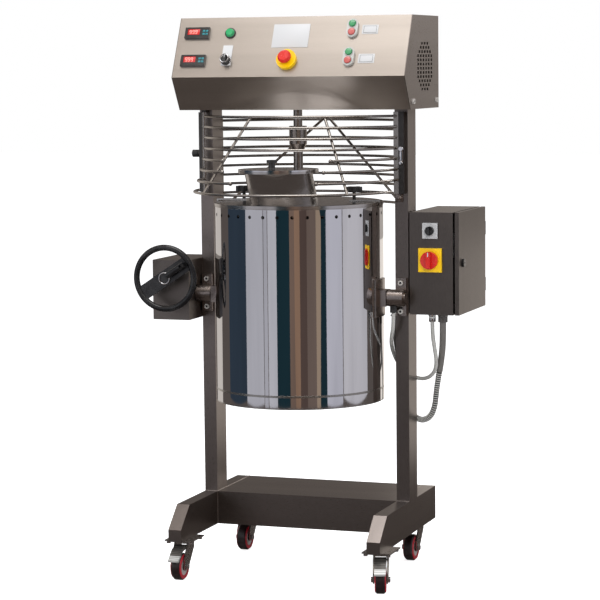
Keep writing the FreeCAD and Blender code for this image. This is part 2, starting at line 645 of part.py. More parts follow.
def make_kettle_jacket():
    """The polished jacket with its ring of holes, and the base pan below the seam."""
    seam = "kettle_bottom + band_high"
    outer = cylinder("jacket_outer", "kettle_radius", f"jacket_top - ({seam})", ("0", "0", seam))
    inner = cylinder("jacket_inner", "kettle_radius - jacket_sheet",
                     f"jacket_top - ({seam}) + 2 * jacket_sheet", ("0", "0", f"{seam} - jacket_sheet"))
    shell = cut("jacket_shell", outer, inner)
    holes = []
    for index in range(int(number("vent_hole_count"))):
        angle = 360 * (index + 0.5) / number("vent_hole_count")
        turn = FreeCAD.Rotation(V(0, 0, 1), angle) * TURNS["X"]
        holes.append(cylinder(f"jacket_hole_{index}", "vent_hole_radius", "kettle_radius + pad_thick",
                              ("0", "0", "jacket_top - vent_hole_drop"), turn))
    jacket = cut("jacket_with_holes", shell, *holes)
    pan = turned("base_pan", (
        ("0", "kettle_bottom"), ("kettle_radius", "kettle_bottom"), ("kettle_radius", seam),
        ("kettle_radius - jacket_sheet", seam),
        ("kettle_radius - jacket_sheet", "kettle_bottom + jacket_sheet"),
        ("0", "kettle_bottom + jacket_sheet"),
    ))
    node("kettle_jacket", gather("kettle_jacket_group", jacket, pan))


def dished(name, radius, dish, top):
    """A cylinder with a dished bottom that stands on the pot's lowest point."""
    wall = f"(pot_radius + pot_wall - ({radius}))"
    bar = cylinder(f"{name}_bar", radius, f"{top} - pot_bottom", ("0", "0", f"pot_bottom + {wall} * 0"))
    ball = doc.addObject("Part::Sphere", f"{name}_ball")
    ball.setExpression("Radius", formula(dish))
    place(ball, ("0", "0", "pot_bottom + pot_dish"))
    common = doc.addObject("Part::MultiCommon", name)
    common.Shapes = [bar, ball]
    return common


def make_inner_pot():
    """The cooking pot: dished bottom, and a flange that rests on the jacket."""
    outer = dished("pot_outer", "pot_radius + pot_wall", "pot_dish", "jacket_top + pot_flange")
    inner = dished("pot_inner", "pot_radius", "pot_dish - pot_wall",
                   "jacket_top + pot_flange + pot_wall")
    flange = cylinder("pot_flange_disc", "kettle_radius", "pot_flange", ("0", "0", "jacket_top"))
    node("inner_pot", cut("pot_cut", fuse("pot_blank", outer, flange), inner))


def make_heating_elements():
    """Two rings of tubular heating element round the pot's wall."""
    rings = []
    for index, height in enumerate(("tilt_height - pad_wide", "tilt_height")):
        ring = doc.addObject("Part::Torus", f"element_{index}")
        ring.setExpression("Radius1", formula("pot_radius + pot_wall + element_radius"))
        ring.setExpression("Radius2", formula("element_radius"))
        rings.append(place(ring, ("0", "0", height)))
    node("heating_elements", gather("elements_group", *rings))


LID_BASE = "jacket_top + pot_flange"


def chute_loft(name, inset, low, high):
    """The leaning round chute as a solid between two heights."""
    slope = f"(chute_mouth_y - chute_foot_y) / (chute_top - ({LID_BASE}))"
    sections = []
    for key, height in (("low", low), ("high", high)):
        ring = doc.addObject("Part::Circle", f"{name}_{key}")
        ring.setExpression("Radius", formula(f"chute_radius - ({inset})"))
        y = f"chute_foot_y + {slope} * ({height} - ({LID_BASE}))"
        sections.append(place(ring, ("0", y, height)))
    loft = doc.addObject("Part::Loft", name)
    loft.Sections = sections
    loft.Solid = True
    loft.Ruled = True
    return loft


def make_kettle_lid():
    """The domed lid with the filling chute welded to it."""
    base = LID_BASE
    rim = "kettle_radius + lid_overhang"
    dome = turned("lid_dome_sheet", (
        ("0", f"{base} + lid_lip + lid_dome"), ("lid_flat_radius", f"{base} + lid_lip + lid_dome"),
        (rim, f"{base} + lid_lip"), (rim, f"{base} + cover_gap"),
        (f"{rim} - jacket_sheet", f"{base} + cover_gap"),
        (f"{rim} - jacket_sheet", f"{base} + lid_lip - jacket_sheet"),
        ("lid_flat_radius", f"{base} + lid_lip + lid_dome - jacket_sheet"),
        ("0", f"{base} + lid_lip + lid_dome - jacket_sheet"),
    ))
    chute = chute_loft("chute_outer", "0", base, "chute_top")
    flange = cylinder("chute_flange_disc", "chute_flange_radius", "chute_flange",
                      ("0", "chute_mouth_y", "chute_top"))
    seal = cylinder("seal_boss", "shaft_seal_radius", "shaft_seal_high",
                    ("0", "0", f"{base} + lid_lip + lid_dome - jacket_sheet"))
    hollow = chute_loft("chute_inner", "chute_sheet", f"{base} - chute_flange",
                        "chute_top + 2 * chute_flange")
    bore = cylinder("seal_bore", "stirrer_radius + shaft_seal_gap", "4 * shaft_seal_high",
                    ("0", "0", base))
    blank = fuse("lid_blank", dome, chute, flange, seal)
    node("kettle_lid", cut("lid_cut", blank, hollow, bore))


def make_chute_cover():
    """The loose cover of the chute with its knob."""
    low = "chute_top + chute_flange + cover_gap"
    disc = cylinder("cover_disc", "chute_flange_radius", "cover_thick", ("0", "chute_mouth_y", low))
    neck = cylinder("cover_knob_neck", "knob_neck_radius", "knob_high * 2 / 3",
                    ("cover_knob_x", "cover_knob_y", f"{low} + cover_thick"))
    top = cylinder("cover_knob_top", "knob_radius", "knob_high / 3",
                   ("cover_knob_x", "cover_knob_y", f"{low} + cover_thick + knob_high * 2 / 3"))
    knob = fuse("cover_knob_fuse", neck, top)
    node("chute_cover", gather("chute_cover_group", disc, knob))


def lid_height(radius):
    """The height of the lid's top face at a distance from its axis."""
    rim = "(kettle_radius + lid_overhang)"
    return (f"{LID_BASE} + lid_lip + lid_dome * ({rim} - ({radius})) / ({rim} - lid_flat_radius)")


def make_lid_clamps():
    """Two strap brackets that hold the lid at its rim, each with a star knob on a stud."""
    straps = []
    for name, side in (("left", -1), ("right", 1)):
        low = lid_height("clamp_x - clamp_wide / 2")
        outer = "(kettle_radius + 2 * lid_overhang + clamp_thick)"
        inner = "(clamp_x - clamp_wide / 2)"
        reach = f"({outer} - {inner})"
        start = inner if side > 0 else f"-{outer}"
        top = block(f"{name}_strap_top", (reach, "clamp_wide", "clamp_thick"),
                    (start, "-clamp_wide / 2", low))
        leg_start = f"{outer} - clamp_thick" if side > 0 else f"-{outer}"
        leg = block(f"{name}_strap_leg", ("clamp_thick", "clamp_wide", f"{low} - jacket_top + lid_lip"),
                    (leg_start, "-clamp_wide / 2", "jacket_top - lid_lip + clamp_thick"))
        hole = cylinder(f"{name}_strap_hole", "clamp_stud_radius + running_gap", "4 * clamp_thick",
                        (f"{side} * clamp_x", "0", f"{low} - clamp_thick"))
        straps.append(cut(f"{name}_strap", fuse(f"{name}_strap_blank", top, leg), hole))
        stud = cylinder(f"{name}_stud", "clamp_stud_radius", "clamp_stud_high",
                        (f"{side} * clamp_x", "0", f"{low} + cover_gap / 3"))
        head_low = f"{low} + clamp_stud_high"
        lobes = [cylinder(f"{name}_knob_hub", "star_knob_radius * 0.7", "star_knob_high",
                          (f"{side} * clamp_x", "0", head_low))]
        for index in range(5):
            turn = math.radians(72 * index)
            x = f"{side} * clamp_x + star_knob_radius * {0.72 * math.cos(turn):.4f}"
            y = f"star_knob_radius * {0.72 * math.sin(turn):.4f}"
            lobes.append(cylinder(f"{name}_lobe_{index}", "star_knob_radius * 0.28",
                                  "star_knob_high", (x, y, head_low)))
        node(f"{name}_clamp_knob", fuse(f"{name}_knob_fuse", stud, *lobes))
    node("clamp_straps", gather("straps_group", *straps))


# TILTING

def make_trunnions():
    """On each side a saddle pad on the jacket, a square boss and a shaft."""
    trunnions = []
    for name, side, end in (("left", -1, "left_shaft_end"), ("right", 1, "right_shaft_end")):
        low = "tilt_height - pad_high / 2"
        outer = cylinder(f"{name}_pad_outer", "kettle_radius + pad_thick", "pad_high", ("0", "0", low))
        inner = cylinder(f"{name}_pad_inner", "kettle_radius + running_gap",
                         "pad_high + 2 * pad_thick", ("0", "0", f"{low} - pad_thick"))
        window_x = "kettle_radius / 2" if side > 0 else "-kettle_radius * 3 / 2"
        window = block(f"{name}_pad_window", ("kettle_radius", "pad_wide", "pad_high"),
                       (window_x, "-pad_wide / 2", low))
        sector = doc.addObject("Part::MultiCommon", f"{name}_pad")
        sector.Shapes = [cut(f"{name}_pad_ring", outer, inner), window]
        root = "(kettle_radius + pad_thick / 2)"
        start = root if side > 0 else "-boss_end"
        boss = block(f"{name}_boss", (f"boss_end - {root}", "boss_side", "boss_side"),
                     (start, "-boss_side / 2", "tilt_height - boss_side / 2"))
        shaft_start = "boss_end" if side > 0 else f"-{end}"
        shaft = cylinder(f"{name}_shaft", "trunnion_radius", f"{end} - boss_end",
                         (shaft_start, "0", "tilt_height"), "X")
        trunnions.append(fuse(f"{name}_trunnion", sector, boss, shaft))
    node("trunnions", gather("trunnions_group", *trunnions))


def make_bearings():
    """Bearing blocks bolted to the columns' front faces, each with its bush."""
    pieces = []
    for name, side in (("left", -1), ("right", 1)):
        start = f"{side} * (frame_width / 2 - tube_width / 2) - housing_long / 2"
        ring_low = "ring_start" if side > 0 else "-ring_start - ring_long"
        base = block(f"{name}_bearing_base", ("housing_long", "housing_base", "housing_base_high"),
                     (start, "column_front - housing_base", "tilt_height - housing_base_high / 2"))
        web = block(f"{name}_bearing_web", ("housing_long", "column_front - housing_base", "web_high"),
                    (start, "0", "tilt_height - web_high / 2"))
        ring = cylinder(f"{name}_bearing_ring", "housing_radius", "ring_long",
                        (ring_low, "0", "tilt_height"), "X")
        bore = cylinder(f"{name}_bearing_bore", "bush_radius", "2 * ring_long",
                        (f"{ring_low} - ring_long / 2", "0", "tilt_height"), "X")
        holes = [cylinder(f"{name}_base_hole_{label}", "bolt_radius + running_gap",
                          "2 * housing_base",
                          (f"{start} + housing_long / 2", "column_front - 3 / 2 * housing_base",
                           f"tilt_height + {up} * housing_bolt_pitch / 2"), "Y")
                 for label, up in (("low", -1), ("high", 1))]
        blank = fuse(f"{name}_bearing_blank", base, web, ring)
        pieces.append(cut(f"{name}_bearing_block", blank, bore, *holes))
        sleeve = cylinder(f"{name}_bush_outer", "bush_radius", "ring_long",
                          (ring_low, "0", "tilt_height"), "X")
        hole = cylinder(f"{name}_bush_bore", "trunnion_radius + running_gap", "2 * ring_long",
                        (f"{ring_low} - ring_long / 2", "0", "tilt_height"), "X")
        pieces.append(cut(f"{name}_bush", sleeve, hole))
    node("bearing_blocks", gather("bearing_blocks_group", *pieces))


def make_gear_case():
    """The folded cover of the tilting gear, beside the left column."""
    low = ("-frame_width / 2 - gear_case_wide", "-gear_case_front", "gear_case_bottom")
    outer = block("gear_case_outer", ("gear_case_wide", "gear_case_deep", "gear_case_high"), low)
    inner = block("gear_case_inner", ("gear_case_wide - 2 * sheet", "gear_case_deep - 2 * sheet",
                                      "gear_case_high - 2 * sheet"),
                  tuple(f"{text} + sheet" for text in low))
    shaft_hole = cylinder("gear_case_shaft_hole", "trunnion_radius + fork_gap", "4 * sheet",
                          ("-frame_width / 2 - 3 * sheet", "0", "tilt_height"), "X")
    worm_hole = cylinder("gear_case_worm_hole", "worm_shaft_radius + running_gap", "4 * sheet",
                         ("-wheel_x", "-gear_case_front - sheet", "tilt_height + gear_centres"), "Y")
    node("gear_case", cut("gear_case_cut", outer, inner, shaft_hole, worm_hole))


def make_worm_wheel():
    """The toothed wheel on the left trunnion shaft."""
    count = int(number("worm_wheel_teeth"))
    tip = number("worm_wheel_radius + tooth_addendum")
    root = tip - number("tooth_depth")
    step = 2 * math.pi / count
    points = []
    for index in range(count):
        for share, radius in ((-0.32, root), (-0.14, tip), (0.14, tip), (0.32, root)):
            turn = (index + 0.5 + share) * step
            points.append(V(0, radius * math.cos(turn), radius * math.sin(turn)))
    face = Part.Face(Part.makePolygon(points + points[:1]))
    blank = face.extrude(V(number("worm_wheel_wide"), 0, 0))
    blank.translate(V(-number("wheel_x + worm_wheel_wide / 2"), 0, number("tilt_height")))
    wheel = shaped("worm_wheel_blank", blank)
    bore = cylinder("worm_wheel_bore", "trunnion_radius", "3 * worm_wheel_wide",
                    ("-wheel_x - 3 / 2 * worm_wheel_wide", "0", "tilt_height"), "X")
    node("worm_wheel", cut("worm_wheel_cut", wheel, bore))


def make_worm():
    """The worm and the shaft that the hand wheel turns."""
    height = "tilt_height + gear_centres"
    body = cylinder("worm_body", "worm_radius", "worm_long", ("-wheel_x", "-worm_long / 2", height), "Y")
    shaft = cylinder("worm_shaft_bar", "worm_shaft_radius", "worm_shaft_back - handwheel_y",
                     ("-wheel_x", "handwheel_y", height), "Y")
    node("worm_shaft", fuse("worm_fuse", body, shaft))


def along_web(distance):
    """The X and Z steps of a distance along the hand wheel's web."""
    turn = math.radians(number("web_turn"))
    return f"({distance}) * {math.cos(turn):.5f}", f"({distance}) * {math.sin(turn):.5f}"


def make_handwheel():
    """The hand wheel: a round rim, a broad flat web across it and a hub."""
    height = "tilt_height + gear_centres"
    rim = doc.addObject("Part::Torus", "handwheel_rim")
    rim.setExpression("Radius1", formula("handwheel_radius - rim_radius"))
    rim.setExpression("Radius2", formula("rim_radius"))
    place(rim, ("-wheel_x", "handwheel_y", height), TURNS["Y"])
    turn = FreeCAD.Rotation(V(0, 1, 0), -number("web_turn"))
    reach = "(handwheel_radius - rim_radius)"
    along_x, along_z = along_web(f"-{reach}")
    half = "(web_wide / 2)"
    angle = math.radians(number("web_turn"))
    corner_x = f"-wheel_x + {along_x} + {half} * {math.sin(angle):.5f}"
    corner_z = f"{height} + {along_z} - {half} * {math.cos(angle):.5f}"
    web = block("handwheel_web", (f"2 * {reach}", "web_thick", "web_wide"),
                (corner_x, "handwheel_y - web_thick / 2", corner_z), turn)
    hub = cylinder("handwheel_hub", "hub_radius", "hub_long",
                   ("-wheel_x", "handwheel_y - web_thick", height), "Y")
    bore = cylinder("handwheel_bore", "worm_shaft_radius", "hub_long * 2",
                    ("-wheel_x", "handwheel_y", height), "Y")
    pivot = crank_pivot()
    lug = block("handwheel_lug", ("2 * crank_pivot_radius", "crank_standoff", "crank_lug"),
                crank_offset(pivot, "-crank_pivot_radius", "0", "-crank_lug / 2"), turn)
    lug_end = cylinder("handwheel_lug_end", "crank_pivot_radius", "crank_lug",
                       crank_offset(pivot, "0", "0", "-crank_lug / 2"), turn)
    pin = cylinder("handwheel_pin", "crank_pivot_radius / 2", "2 * crank_radius - sheet",
                   crank_offset(pivot, "0", "0", "-crank_radius + sheet / 2"), turn)
    blank = fuse("handwheel_blank", rim, web, hub, lug, lug_end, pin)
    node("handwheel", cut("handwheel_cut", blank, bore))


def crank_pivot():
    """The pivot of the fold-away grip."""
    along_x, along_z = along_web("crank_reach")
    return (f"-wheel_x + {along_x}", "handwheel_y - web_thick / 2 - crank_standoff",
            f"tilt_height + gear_centres + {along_z}")


def crank_offset(pivot, along, out, across):
    """A place given by its distances along the web, out of it and across it."""
    turn = math.radians(number("web_turn"))
    x = f"{pivot[0]} + ({along}) * {math.cos(turn):.5f} - ({across}) * {math.sin(turn):.5f}"
    z = f"{pivot[2]} + ({along}) * {math.sin(turn):.5f} + ({across}) * {math.cos(turn):.5f}"
    return x, f"{pivot[1]} + ({out})", z


def make_crank_handle():
    """The fold-away grip, lying along the web, forked over its lug."""
    pivot = crank_pivot()
    turn = FreeCAD.Rotation(V(0, 1, 0), -number("web_turn"))
    inward = turn * FreeCAD.Rotation(V(0, 1, 0), -90)
    grip = cylinder("crank_grip", "crank_radius", "crank_long + crank_radius",
                    crank_offset(pivot, "crank_radius", "0", "0"), inward)
    slot = block("crank_slot", ("3 * crank_radius", "3 * crank_radius", "crank_slot"),
                 crank_offset(pivot, "-crank_pivot_radius - crank_lug / 2", "-3 / 2 * crank_radius",
                              "-crank_slot / 2"), turn)
    bore = cylinder("crank_bore", "crank_pivot_radius / 2 + running_gap", "3 * crank_radius",
                    crank_offset(pivot, "0", "0", "-3 / 2 * crank_radius"), turn)
    node("crank_handle", cut("crank_cut", grip, slot, bore))


# GUARD

SPLIT_RODS = {1: (-116, 138), 2: (-160, 149), 3: (-171, 159)}

def bowed_rod(height, ends, bow, radius, span=None):
    """A rod on a circular arc between two end points, or one side of it with a ball cap."""
    (left_x, left_y), (right_x, right_y) = ends
    half = (right_x - left_x) / 2
    middle = (left_x + right_x) / 2
    size = (half ** 2 + bow ** 2) / (2 * abs(bow))
    centre_y = left_y + bow - math.copysign(size, bow)

    def point(x):
        return V(x, centre_y + math.copysign(math.sqrt(size ** 2 - (x - middle) ** 2), bow), height)

    first, last = span or (left_x, right_x)
    centre = V(middle, centre_y, height)
    angles = sorted((math.degrees(math.atan2(point(x).y - centre_y, x - middle)), x) for x in (first, last))
    start = point(angles[0][1])
    ring = Part.Circle(start, V(0, 0, 1).cross(start - centre), radius)
    face = Part.Face(Part.Wire([ring.toShape()]))
    rod = face.revolve(centre, V(0, 0, 1), angles[1][0] - angles[0][0])
    if span is None:
        return rod, point
    free = first if abs(first) < abs(last) else last
    return rod.fuse(Part.makeSphere(radius * number("cap_share"), point(free))), point


def brace(low, high, radius):
    """A straight rod between two points."""
    return Part.makeCylinder(radius, (high - low).Length, low, high - low)


def make_gate():
    """The front gate: bowed rods on a hinge tube, two braces and a closing bar."""
    radius = number("rod_radius")
    count = int(number("gate_rods"))
    left = (-number("hinge_x"), number("hinge_y"))
    right = (number("gate_bar_x + gate_bar_wide / 2"), number("hinge_y"))
    pieces = []
    marks = {}
    for index in range(count):
        height = number("gate_bottom") + index * number("gate_pitch")
        bow = number("gate_bow_low") + index * number("gate_bow_step")
        if index in SPLIT_RODS:
            gap = SPLIT_RODS[index]
            for span in ((left[0], gap[0]), (gap[1], right[0])):
                rod, point = bowed_rod(height, (left, right), bow, radius, span)
                pieces.append(rod)
        else:
            rod, point = bowed_rod(height, (left, right), bow, radius)
            pieces.append(rod)
        marks[index] = point
    back = V(0, number("brace_back"), 0)
    for side in (-1, 1):
        low = marks[0](side * number("brace_low_x")) + back
        high = marks[count - 1](side * number("brace_high_x")) + back
        pieces.append(brace(low, high, radius))
    foot = number("gate_foot")
    length = number("gate_head - gate_foot")
    pieces.append(Part.makeCylinder(number("stile_radius"), length, V(left[0], left[1], foot)))
    pieces.append(Part.makeBox(number("gate_bar_wide"), number("gate_bar_thick"), length,
                               V(number("gate_bar_x"), number("hinge_y"), foot)))
    solid = pieces[0].multiFuse(pieces[1:])
    bore = Part.makeCylinder(number("pin_radius + running_gap"), length * 2,
                             V(left[0], left[1], foot - length / 2))
    node("guard_gate", shaped("gate_shape", solid.cut(bore)))


def make_guard_fittings():
    """The gate's hinge pin and lugs, its flat leaf, the closing strip and the plunger body."""
    pin = cylinder("gate_pin", "pin_radius", "gate_head - gate_foot + 2 * lug_high",
                   ("-hinge_x", "hinge_y", "gate_foot - lug_high"))
    pieces = [pin]
    for name, z in (("low", "gate_foot - lug_high - cover_gap"), ("high", "gate_head + cover_gap")):
        pieces.append(block(f"gate_lug_{name}", ("2 * stile_radius",
                                                 "column_front - hinge_y + stile_radius", "lug_high"),
                            ("-hinge_x - stile_radius", "hinge_y - stile_radius", z)))
    hinge = fuse("gate_hinge_fuse", *pieces)
    leaf = block("gate_leaf", ("gate_bar_wide", "gate_bar_thick", "gate_head - gate_foot"),
                 ("-leaf_x - gate_bar_wide", "column_front - gate_bar_thick", "gate_foot"))
    strip = block("gate_catch_bar", ("catch_wide", "column_front - hinge_y",
                                     "gate_head - gate_foot"),
                  ("gate_bar_x + gate_bar_wide + catch_gap", "hinge_y", "gate_foot"))
    face = "-frame_width / 2"
    body = cylinder("plunger_body", "plunger_body_radius", "plunger_body_long",
                    (f"{face} - plunger_body_long", "plunger_y", "plunger_z"), "X")
    bore = cylinder("plunger_bore", "plunger_pin_radius + running_gap", "2 * plunger_body_long",
                    (f"{face} - plunger_body_long * 3 / 2", "plunger_y", "plunger_z"), "X")
    plunger = cut("plunger_cut", body, bore)
    node("guard_fittings", gather("guard_fittings_group", hinge, leaf, strip, plunger))


def make_rear_guard():
    """The fixed rear guard: bowed rods between two bars, with braces."""
    radius = number("rod_radius")
    count = int(number("rear_rods"))
    bar_wide = number("gate_bar_wide")
    bar_thick = number("rear_bar_thick")
    back = number("column_front + tube_depth")
    reach = number("rear_end_x")
    ends = ((-reach, back + number("rear_end_back")), (reach, back + number("rear_end_back")))
    pieces = []
    marks = {}
    for index in range(count):
        height = number("rear_bottom") + index * number("rear_pitch")
        rod, marks[index] = bowed_rod(height, ends, number("rear_bow"), radius)
        pieces.append(rod)
    for side in (-1, 1):
        low = marks[0](side * number("rear_brace_low")) - V(0, number("brace_back"), 0)
        high = marks[count - 1](side * number("rear_brace_high")) - V(0, number("brace_back"), 0)
        pieces.append(brace(low, high, radius))
    foot = number("rear_bottom - 3 * rod_radius")
    length = number("rear_pitch * (rear_rods - 1) + 6 * rod_radius")
    for side in (-1, 1):
        pieces.append(Part.makeBox(bar_wide, bar_thick, length,
                                   V(side * reach - bar_wide / 2, back, foot)))
    node("rear_guard", shaped("rear_guard_shape", pieces[0].multiFuse(pieces[1:])))


def make_index_plunger():
    """The pull knob of the locking plunger, with its pin."""
    face = "-frame_width / 2"
    knob = cylinder("plunger_knob_grip", "plunger_knob_radius", "plunger_knob_long",
                    (f"{face} - plunger_body_long - cover_gap - plunger_knob_long", "plunger_y",
                     "plunger_z"), "X")
    pin = cylinder("plunger_pin_bar", "plunger_pin_radius", "plunger_body_long",
                   (f"{face} - plunger_body_long - 2 * cover_gap", "plunger_y", "plunger_z"), "X")
    node("plunger_knob", fuse("plunger_knob_fuse", knob, pin))


# SWITCH CABINET

CABINET_LOW = ("frame_width / 2 + cabinet_gap", "cabinet_front", "cabinet_top - cabinet_high")


def make_cabinet():
    """The cabinet's open body on two spacers, with hinge knuckles behind."""
    outer = block("cabinet_outer", ("cabinet_wide", "cabinet_deep", "cabinet_high"), CABINET_LOW)
    inner = block("cabinet_inner", ("cabinet_wide", "cabinet_deep - 2 * sheet",
                                    "cabinet_high - 2 * sheet"),
                  tuple(f"{text} + sheet" for text in CABINET_LOW))
    pieces = [outer]
    for name, share in (("low", "0.2"), ("high", "0.8")):
        pieces.append(block(f"spacer_{name}", ("cabinet_gap", "tube_depth / 2", "tube_width"),
                            ("frame_width / 2", "column_front + tube_depth / 4",
                             f"{CABINET_LOW[2]} + cabinet_high * {share} - tube_width / 2")))
    body = cut("cabinet_cut", fuse("cabinet_blank", *pieces), inner)
    knuckles = []
    for name, z in (("low", f"{CABINET_LOW[2]} + hinge_knuckle_inset"),
                    ("high", "cabinet_top - hinge_knuckle_inset - hinge_knuckle_long")):
        barrel = cylinder(f"knuckle_{name}", "hinge_knuckle_radius", "hinge_knuckle_long",
                          ("door_hinge_x", "door_hinge_y", z))
        leaf = block(f"leaf_{name}", ("door_hinge_x - cabinet_wide - frame_width / 2 + 3 * tube_wall",
                                      "sheet", "hinge_knuckle_long"),
                     ("cabinet_wide + frame_width / 2 - 3 * tube_wall",
                      f"{CABINET_LOW[1]} + cabinet_deep", z))
        neck = block(f"neck_{name}", ("hinge_knuckle_radius", "door_hinge_y - cabinet_front - cabinet_deep",
                                      "hinge_knuckle_long"),
                     ("door_hinge_x - hinge_knuckle_radius", f"{CABINET_LOW[1]} + cabinet_deep", z))
        knuckles.append(fuse(f"hinge_{name}", barrel, leaf, neck))
    node("cabinet_body", gather("cabinet_body_group", body, *knuckles))


def make_cabinet_door():
    """The door: a shallow pan with turned-in edges."""
    start = "frame_width / 2 + cabinet_gap + cabinet_wide + door_gap"
    outer = block("door_outer", ("door_thick", "cabinet_deep", "cabinet_high"),
                  (start, CABINET_LOW[1], CABINET_LOW[2]))
    inner = block("door_inner", ("door_thick", "cabinet_deep - 2 * sheet", "cabinet_high - 2 * sheet"),
                  (f"{start} - sheet", f"{CABINET_LOW[1]} + sheet", f"{CABINET_LOW[2]} + sheet"))
    hole = cylinder("lock_hole", "lock_radius / 2 + running_gap", "3 * door_thick",
                    (f"{start} - door_thick", "lock_y", "lock_z"), "X")
    node("cabinet_door", cut("door_cut", outer, inner, hole))
    head = cylinder("lock_head", "lock_radius", "lock_proud",
                    (f"{start} + door_thick + knob_gap / 2", "lock_y", "lock_z"), "X")
    stem = cylinder("lock_stem", "lock_radius / 2", "door_thick + knob_gap",
                    (start, "lock_y", "lock_z"), "X")
    slot = block("lock_slot", ("lock_proud / 2", "lock_radius * 1.2", "sheet"),
                 (f"{start} + door_thick + lock_proud / 2 + knob_gap", "lock_y - lock_radius * 0.6",
                  "lock_z - sheet / 2"))
    node("door_lock", cut("lock_cut", fuse("lock_blank", head, stem), slot))


def make_switches():
    """The main switch and the small switch on the cabinet's front."""
    face = "cabinet_front"
    main = block("main_plate_blank", ("main_plate_side", "main_plate_thick", "main_plate_side"),
                 ("main_switch_x - main_plate_side / 2", f"{face} - main_plate_thick",
                  "main_switch_z - main_plate_side / 2"))
    small = block("small_plate_blank", ("small_plate_side", "small_plate_thick", "small_plate_side"),
                  ("main_switch_x - small_plate_side / 2", f"{face} - small_plate_thick",
                   "small_switch_z - small_plate_side / 2"))
    node("switch_plates", gather("switch_plates_group", main, small, *switch_plates))
    for name, plate, z, radius, proud in (
        ("main", "main_plate_thick", "main_switch_z", "main_knob_radius", "main_knob_proud"),
        ("small", "small_plate_thick", "small_switch_z", "small_knob_radius", "small_knob_proud"),
    ):
        back = f"{face} - {plate} - knob_gap"
        disc = cylinder(f"{name}_knob_disc", radius, f"{proud} / 2",
                        ("main_switch_x", f"{back} - {proud} / 2", z), "Y")
        grip = block(f"{name}_knob_grip", (f"{radius} * 0.5", f"{proud}", f"{radius} * 1.7"),
                     (f"main_switch_x - {radius} * 0.25", f"{back} - {proud}", f"{z} - {radius} * 0.85"))
        node(f"{name}_switch_knob", fuse(f"{name}_knob_fuse", disc, grip))


def make_contactors():
    """The back plate in the cabinet with three contactors on it."""
    x = "frame_width / 2 + cabinet_gap + sheet"
    plate = block("back_plate", ("sheet", "cabinet_deep - 2 * back_plate_inset",
                                 "cabinet_high - 2 * back_plate_inset"),
                  (x, "cabinet_front + back_plate_inset", f"{CABINET_LOW[2]} + back_plate_inset"))
    units = [block(f"contactor_{index}", ("contactor_deep", "contactor_wide", "contactor_high"),
                   (f"{x} + sheet", f"cabinet_front + cabinet_deep / 2 + ({index} - 1.5) * contactor_wide * 1.2",
                    f"{CABINET_LOW[2]} + cabinet_high / 2"))
             for index in range(3)]
    node("cabinet_gear", gather("cabinet_gear_group", plate, *units))


# GLANDS AND CONDUITS

SMALL_ROUTE = (
    (388, 70, 753), (388, 70, 714), (393, 76, 672), (395, 90, 630), (381, 112, 594),
    (346, 130, 572), (302, 136, 580), (272, 120, 612), (262, 92, 650), (266, 54, 686),
    (278, 18, 712), (290, 0, 744), (290, 0, 783.5),
)
LARGE_ROUTE = (
    (420, 70, 753), (420, 70, 712), (412, 92, 668), (400, 116, 626), (389, 128, 580),
    (381, 132, 536), (377, 133, 493), (359, 145, 457), (322, 170, 441), (286, 194, 457),
    (265, 209, 493), (261, 207, 541), (262, 189, 588), (265, 156, 625), (268, 118, 656),
    (269.5, 92, 697), (269.5, 92, 742),
)


def route_points(route, first, last):
    """A route as vectors, its two ends set on their glands."""
    points = [V(*point) for point in route]
    points[0] = first
    points[-1] = last
    return points


def route_radii(points):
    """Each corner's radius: 0.45 of the shorter run, over the tangent of half the turn."""
    radii = []
    for before, corner, after in zip(points, points[1:], points[2:]):
        half = (math.pi - (before - corner).getAngle(after - corner)) / 2
        run = min((before - corner).Length, (after - corner).Length)
        radii.append(0.45 * run / math.tan(half))
    return radii


def conduit(name, route, first, last, radius):
    """A conduit as a plain tube along its route."""
    points = route_points(route, first, last)
    radii = route_radii(points)
    wire = rounded_wire(points, radii)
    solid = tube(wire, radius)
    ratio = solid.Volume / (math.pi * radius ** 2 * wire.Length)
    print(f"{name}: length {wire.Length:.0f}, least radius {min(radii):.0f}, volume ratio {ratio:.4f}")
    node(name, shaped(f"{name}_shape", solid))


def make_conduits():
    """Glands under the cabinet and at the bearing, and the two conduits between them."""
    floor = "cabinet_top - cabinet_high"
    glands = []
    for name, x, radius in (("small", "small_gland_x", "small_gland_radius"),
                            ("large", "large_gland_x", "large_gland_radius")):
        glands.append(cylinder(f"{name}_gland", radius, "gland_long",
                               (x, "gland_y", f"{floor} - gland_long")))
    seat = "tilt_height - housing_radius"
    glands.append(cylinder("bearing_gland", "small_gland_radius", "gland_long * 0.75 + sheet",
                           ("bearing_gland_x", "bearing_gland_y", f"{seat} - gland_long * 0.75")))
    block_tool = cylinder("bearing_gland_tool", "housing_radius", "ring_long",
                          ("ring_start", "0", "tilt_height"), "X")
    glands[-1] = cut("bearing_gland_cut", glands[-1], block_tool)
    glands.append(cylinder("bracket_gland", "large_gland_radius - sheet", "gland_long",
                           ("frame_width / 2 - tube_width - bracket_reach / 2 - sheet", "bracket_y",
                            "bracket_z - gland_long")))
    glands.append(block("bracket_plate", ("bracket_reach", "bracket_wide", "bracket_thick"),
                        ("frame_width / 2 - tube_width - bracket_reach",
                         "bracket_y - bracket_wide / 2", "bracket_z")))
    node("cable_glands", gather("glands_group", *glands))
    first = V(number("small_gland_x"), number("gland_y"), number(f"{floor} - gland_long"))
    last = V(number("bearing_gland_x"), number("bearing_gland_y"), number(f"{seat} - gland_long * 0.75"))
    conduit("small_conduit", SMALL_ROUTE, first, last, number("small_conduit_radius"))
    first = V(number("large_gland_x"), number("gland_y"), number(f"{floor} - gland_long"))
    last = V(number("frame_width / 2 - tube_width - bracket_reach / 2 - sheet"), number("bracket_y"),
             number("bracket_z - gland_long"))
    conduit("large_conduit", LARGE_ROUTE, first, last, number("large_conduit_radius"))


# CASTORS

